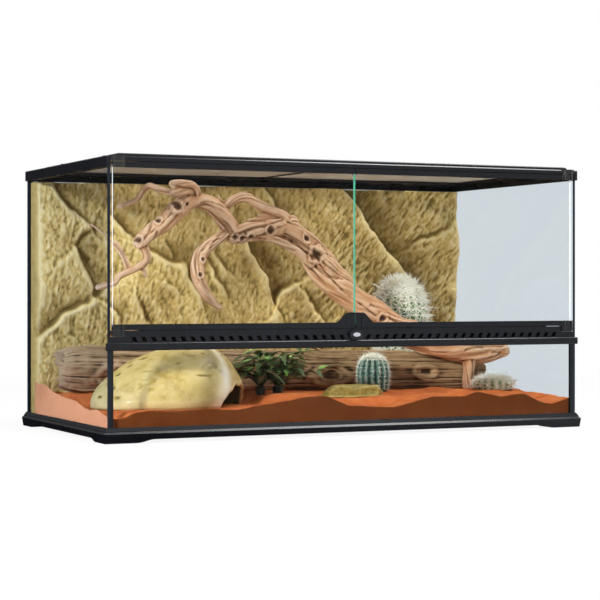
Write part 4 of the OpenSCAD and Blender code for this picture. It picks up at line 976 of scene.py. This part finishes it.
def makeCactus(kind, look):
    node, height, gap = kind + "_cactus", look["height"], look["areoleGap"]
    angle = turnsOf(10 * look["ribs"])
    cx, cy = look["centre"]
    # a smooth profile through the outline's radii
    fine = np.linspace(0, 1, 400)
    profile = np.convolve(np.pad(readOff(look["outline"], fine), 15, mode="edge"), np.ones(31) / 31,
                          "valid")
    profile[-12:] *= np.linspace(1, 0.55, 12)
    # even steps along the outline, so that the crown is as fine as the flanks
    run = np.append(0, np.cumsum(np.hypot(np.diff(fine * height), np.diff(profile))))
    rib = np.abs(np.cos(angle * look["ribs"] / 2)) ** 0.8
    rings = []
    for s in np.linspace(0, run[-1], 90):
        t = np.interp(s, run, fine)
        swell = 1 + 0.012 * math.sin(s / gap * 2 * math.pi)
        r = np.interp(t, fine, profile) * (1 - look["groove"] * (1 - rib)) * swell
        rings.append(ringAt(cx, cy, r, angle, bed + t * height))
    # painted shade in the grooves between the ribs, painted highlight on the rib crests
    finish = texturedMaterial(
        kind + "CactusSoftVinyl", patch=18, grain=1.5, grainDepth=0.15, rough=(0.4, 0.6), specular=0.4,
        subsurface=0.12, colours=look["colours"], hollows=(look["colours"][0][1], 0.7),
        crests=(look["crest"], 0.7))
    mesh = newMesh(kind + "CactusBody", *ringSkin(rings))
    placePiece(mesh, finish, node)
    markHollows(mesh, 10, 1.2)
    # spines in tufts along each rib
    dice = np.random.default_rng(look["seed"])
    spines = []
    for s in np.arange(gap * 0.8, run[-1], gap):
        t = np.interp(s, run, fine)
        radius = np.interp(t, fine, profile)
        slope = np.interp(t + 0.01, fine, profile) - np.interp(t - 0.01, fine, profile)
        nearCrown = t > 0.85
        ribCount = look["ribs"] if radius > 9 else look["ribs"] // 2
        for turn in turnsOf(ribCount):
            radial = np.array([math.cos(turn), math.sin(turn), 0])
            around = np.array([-math.sin(turn), math.cos(turn), 0])
            normal = radial * 0.02 * height - np.array([0, 0, 1]) * slope
            normal /= np.linalg.norm(normal)
            up = np.cross(around, normal)
            foot = np.array([cx, cy, bed + t * height]) + radial * (radius * 0.985)
            for k in range(look["spines"] * (2 if nearCrown else 1)):
                spread = 2 * np.pi * (k + dice.random() * 0.7) / (look["spines"] - 1)
                lean = 0.35 if k == 0 else 1.0 + 0.35 * dice.random()
                outward = around * math.cos(spread) + up * math.sin(spread)
                direction = normal * math.cos(lean) + outward * math.sin(lean)
                length = look["spineLength"] * (0.65 + 0.5 * dice.random())
                length *= look["crown"] if nearCrown else 1
                sideA = np.cross(direction, normal + 0.3)
                sideA *= look["spineRoot"] / np.linalg.norm(sideA)
                sideB = np.cross(direction, sideA)
                tip, root = foot + direction * length, foot - normal * 0.8
                if tip[2] < bed + 1:
                    continue
                corners = [root + sideA, root - 0.5 * sideA + 0.87 * sideB,
                           root - 0.5 * sideA - 0.87 * sideB, tip]
                spines.append((corners, [(0, 1, 3), (1, 2, 3), (2, 0, 3), (2, 1, 0)]))
    placePiece(newMesh(kind + "CactusSpines", *joined(spines)), spineFinish, node, smooth=False)


for kind, look in cacti.items():
    makeCactus(kind, look)
print("cacti made")

# ---- plant

plant = {
    "pots": [(-100, -46, 9), (-67, -48, 9)],
    # half section of a pot: height, share of its radius
    "potSection": [(0, 0.84), (1, 0.9), (7, 1), (13, 1.02), (14.5, 0.98), (14.2, 0.86), (12, 0.8),
                   (12, 0.1)],
    "stems": 38, "leavesPerStem": 7, "seed": 81,
    # how far a stem reaches in each heading (degrees from +X): long over the open sand and behind the hide
    "reach": [(0, 96), (60, 66), (110, 56), (150, 100), (185, 70), (215, 48), (250, 56), (300, 84),
              (360, 96)],
    # kinds of leaf: colours, and the colour that runs along the rim
    "leafKinds": {
        "leafDarkGreen": ([(0, "#162b10"), (0.6, "#28451a"), (1, "#3f5f26")], "#54702f"),
        "leafBrightGreen": ([(0, "#3f7a26"), (0.6, "#62a036"), (1, "#8cc256")], "#a8d070"),
        "leafRedEdged": ([(0, "#383c1e"), (0.5, "#5c5a2c"), (1, "#80743e")], "#7c3a20"),
    },
    "leafOrder": ("leafDarkGreen", "leafRedEdged", "leafDarkGreen", "leafBrightGreen", "leafDarkGreen"),
}


def leaf(base, forward, side, up, length, width, droop):
    # six steps of three points: rim, midrib, rim
    points = []
    for u in np.linspace(0, 1, 7):
        centre = base + forward * (length * u) - up * (droop * length * u * u)
        half = max(0.2, width * math.sin(math.pi * (0.06 + 0.94 * u) ** 0.8))
        points += [centre + side * (s * half) + up * (abs(s) * half * 0.3) for s in (-1, 0, 1)]
    return points, gridFaces(7, 3)


angle = turnsOf(28)
pots = [ringSkin([ringAt(x, y, share * radius, angle, bed + z) for z, share in plant["potSection"]])
        for x, y, radius in plant["pots"]]
potFinish = texturedMaterial(
    "darkGreenPolythene", patch=12, grain=2, grainDepth=0.2, rough=(0.45, 0.6),
    colours=[(0, "#0c0f09"), (1, "#171c10")])
placePiece(newMesh("plantPots", *joined(pots)), potFinish, "plant")
dice = np.random.default_rng(plant["seed"])
up = np.array([0, 0, 1.0])
stems, leaves = [], {name: [] for name in plant["leafKinds"]}
for number in range(plant["stems"]):
    px, py, _ = plant["pots"][number % 2]
    heading = 137.5 * number + 40 * dice.random()
    out = np.array([math.cos(math.radians(heading)), math.sin(math.radians(heading)), 0])
    side = np.array([-out[1], out[0], 0])
    reach = readOff(plant["reach"], heading % 360) * (0.35 + 0.65 * dice.random())
    rise = 26 + 50 * dice.random()
    t = np.linspace(0, 1, 9)[:, None]
    sway = side * (5 * np.sin(3 * t + number))
    line = np.array([px, py, bed + 12.0]) + out * (reach * t ** 1.15) + sway \
        + up * (rise * (1.7 * t - 0.85 * t * t))
    stems.append(tube(np.column_stack([line, np.linspace(1.3, 0.6, 9)]), 6))
    last = plant["leavesPerStem"] - 1
    for k in range(last + 1):
        base = np.array([np.interp(0.3 + 0.7 * k / last, t[:, 0], line[:, c]) for c in range(3)])
        swing = 0 if k == last else (0.9 if k % 2 else -0.9) * (0.7 + 0.5 * dice.random())
        forward = out * math.cos(swing) + side * math.sin(swing) + up * (0.15 + 0.5 * dice.random())
        forward /= np.linalg.norm(forward)
        across = np.cross(up, forward)
        across /= np.linalg.norm(across)
        length, width = 26 + 18 * dice.random(), 5.6 + 3.2 * dice.random()
        droop = 0.2 + 0.5 * dice.random()
        name = plant["leafOrder"][(number * 3 + k) % 5]
        leaves[name].append(leaf(base, forward, across, np.cross(forward, across), length, width, droop))
stemFinish = texturedMaterial(
    "greenPolytheneStem", patch=12, grain=2, grainDepth=0.1, rough=(0.4, 0.55),
    colours=[(0, "#24351a"), (1, "#3c5226")])
placePiece(newMesh("plantStems", *joined(stems)), stemFinish, "plant")
for name, parts in leaves.items():
    colours, rim = plant["leafKinds"][name]
    # printed polyester leaves with a moulded midrib
    finish = texturedMaterial(
        name + "Polyester", patch=9, grain=1.2, grainDepth=0.15, rough=(0.4, 0.6), specular=0.4, sheen=0.1,
        colours=colours, marks=[("rim", rim)])
    mesh = newMesh("raw" + name, *joined(parts))
    mark(mesh, "rim", 0.8 * (np.arange(len(mesh.vertices)) % 3 != 1))
    mesh = appliedMesh(mesh,
                       [("SOLIDIFY", {"thickness": 0.5 * mm, "offset": 0}), ("SUBSURF", {"levels": 1})])
    placePiece(mesh, finish, "plant")
print("plant made")

# ---- stage and light

stage = {
    "floor": "#f4f4f3",
    # the same floor in reflections: a dark cloth behind and to the left, pale card to the front right
    "mirroredFloor": ("#1e1e20", "#f2f4f8"),
    "frontGlow": 0.25,          # what reflections see in front, to the right
    "worldStrength": 0.27,      # the soft light from all round
    "mirrored": (0.03, 0.9),    # what reflections see behind the tank and overhead
    "window": 2.6,              # a bright tall window to the right, for reflections alone
}
lamps = {
    # name: place, aims at, size, watts
    "keyLeft": ((-2.9, -1.6, 1.2), (0, 0.1, 0.25), 0.5, 135),
    "topSoftbox": ((0.9, -0.3, 1.9), (0.15, 0.05, 0.2), 1.0, 44),
    "frontFill": ((0.3, -3.3, 2.3), (0, 0, 0.2), 1.4, 15),
}


def seenDirectly(tree):
    # the ray kinds in this tree, and 1 for what the camera sees, also through glass
    path = addNode(tree, "LightPath").outputs
    return path, addNode(tree, "Math", {"operation": "MAXIMUM"},
                         {0: path["Is Camera Ray"], 1: path["Is Transmission Ray"]})


def alongDirection(tree, source, direction, low, high, fromLevel, toLevel):
    # a level that rises between low and high along a direction
    part = addNode(tree, "VectorMath", {"operation": "DOT_PRODUCT", 1: direction},
                   {0: source}).outputs["Value"]
    return addNode(tree, "MapRange",
                   {"From Min": low, "From Max": high, "To Min": fromLevel, "To Max": toLevel},
                   {"Value": part})


material, tree = newMaterial("paleFloorPaint")
path, seen = seenDirectly(tree)
place = addNode(tree, "TexCoord").outputs["Object"]
reach = addNode(tree, "VectorMath", {"operation": "LENGTH"}, {0: place}).outputs["Value"]
fade = addNode(tree, "MapRange", {"From Min": 0.9, "From Max": 2.4, "To Min": 0.9, "To Max": 1.0},
               {"Value": reach})
share = addNode(tree, "Math", {"operation": "MULTIPLY"}, {0: seen, 1: fade})
card = alongDirection(tree, place, (0.42, -0.9, 0), 0.1, 0.7, 0, 1)
cloth, pale = stage["mirroredFloor"]
mirrored = addNode(tree, "Mix", {"data_type": "RGBA", 6: cloth, 7: pale}, {0: card}).outputs[2]
paint = addNode(tree, "Mix", {"data_type": "RGBA", 6: stage["floor"]},
                {0: path["Is Glossy Ray"], 7: mirrored})
diffuse = addNode(tree, "BsdfDiffuse", links={"Color": paint.outputs[2]})
white = addNode(tree, "Emission", {"Color": "#ffffff", "Strength": 1.0})
addNode(tree, "OutputMaterial",
        links={"Surface": addNode(tree, "MixShader", links={0: share, 1: diffuse, 2: white})})
corners = [(-9000, -9000, -1), (9000, -9000, -1), (9000, 9000, -1), (-9000, 9000, -1)]
floorMesh = newMesh("studioFloor", corners, [(0, 1, 2, 3)])
floorMesh.materials.append(material)
placeObject("studioFloor", floorMesh)

world = bpy.data.worlds.new("studio")
scene.world = world
world.use_nodes = True
tree = world.node_tree
tree.nodes.clear()
path, seen = seenDirectly(tree)
level = addNode(tree, "MapRange", {"To Min": stage["worldStrength"], "To Max": 1.0}, {"Value": seen})
# reflections see a softbox overhead, a window at the right and a dim room all round
heading = addNode(tree, "TexCoord").outputs["Generated"]
overhead = alongDirection(tree, heading, (-0.1, -0.35, 0.93), -0.25, 0.85, *stage["mirrored"])
window = alongDirection(tree, heading, (0.99, -0.08, 0.12), 0.9, 0.94, 0, stage["window"])
glow = alongDirection(tree, heading, (0.42, -0.9, 0), 0.55, 0.95, 0, stage["frontGlow"])
bright = addNode(tree, "Math", {"operation": "ADD"}, {0: window, 1: glow})
mirrored = addNode(tree, "Math", {"operation": "ADD"}, {0: overhead, 1: bright})
strength = addNode(tree, "Mix", {"data_type": "FLOAT"}, {0: path["Is Glossy Ray"], 2: level, 3: mirrored})
light = addNode(tree, "Background", {"Color": "#ffffff"}, {"Strength": strength})
addNode(tree, "OutputWorld", links={"Surface": light})

for name, (place, aim, size, watts) in lamps.items():
    data = bpy.data.lights.new(name, "AREA")
    data.shape, data.size, data.energy = "DISK", size, watts
    placeObject(name, data, place, (Vector(aim) - Vector(place)).to_track_quat("-Z", "Y").to_euler())
print("stage and lamps set")
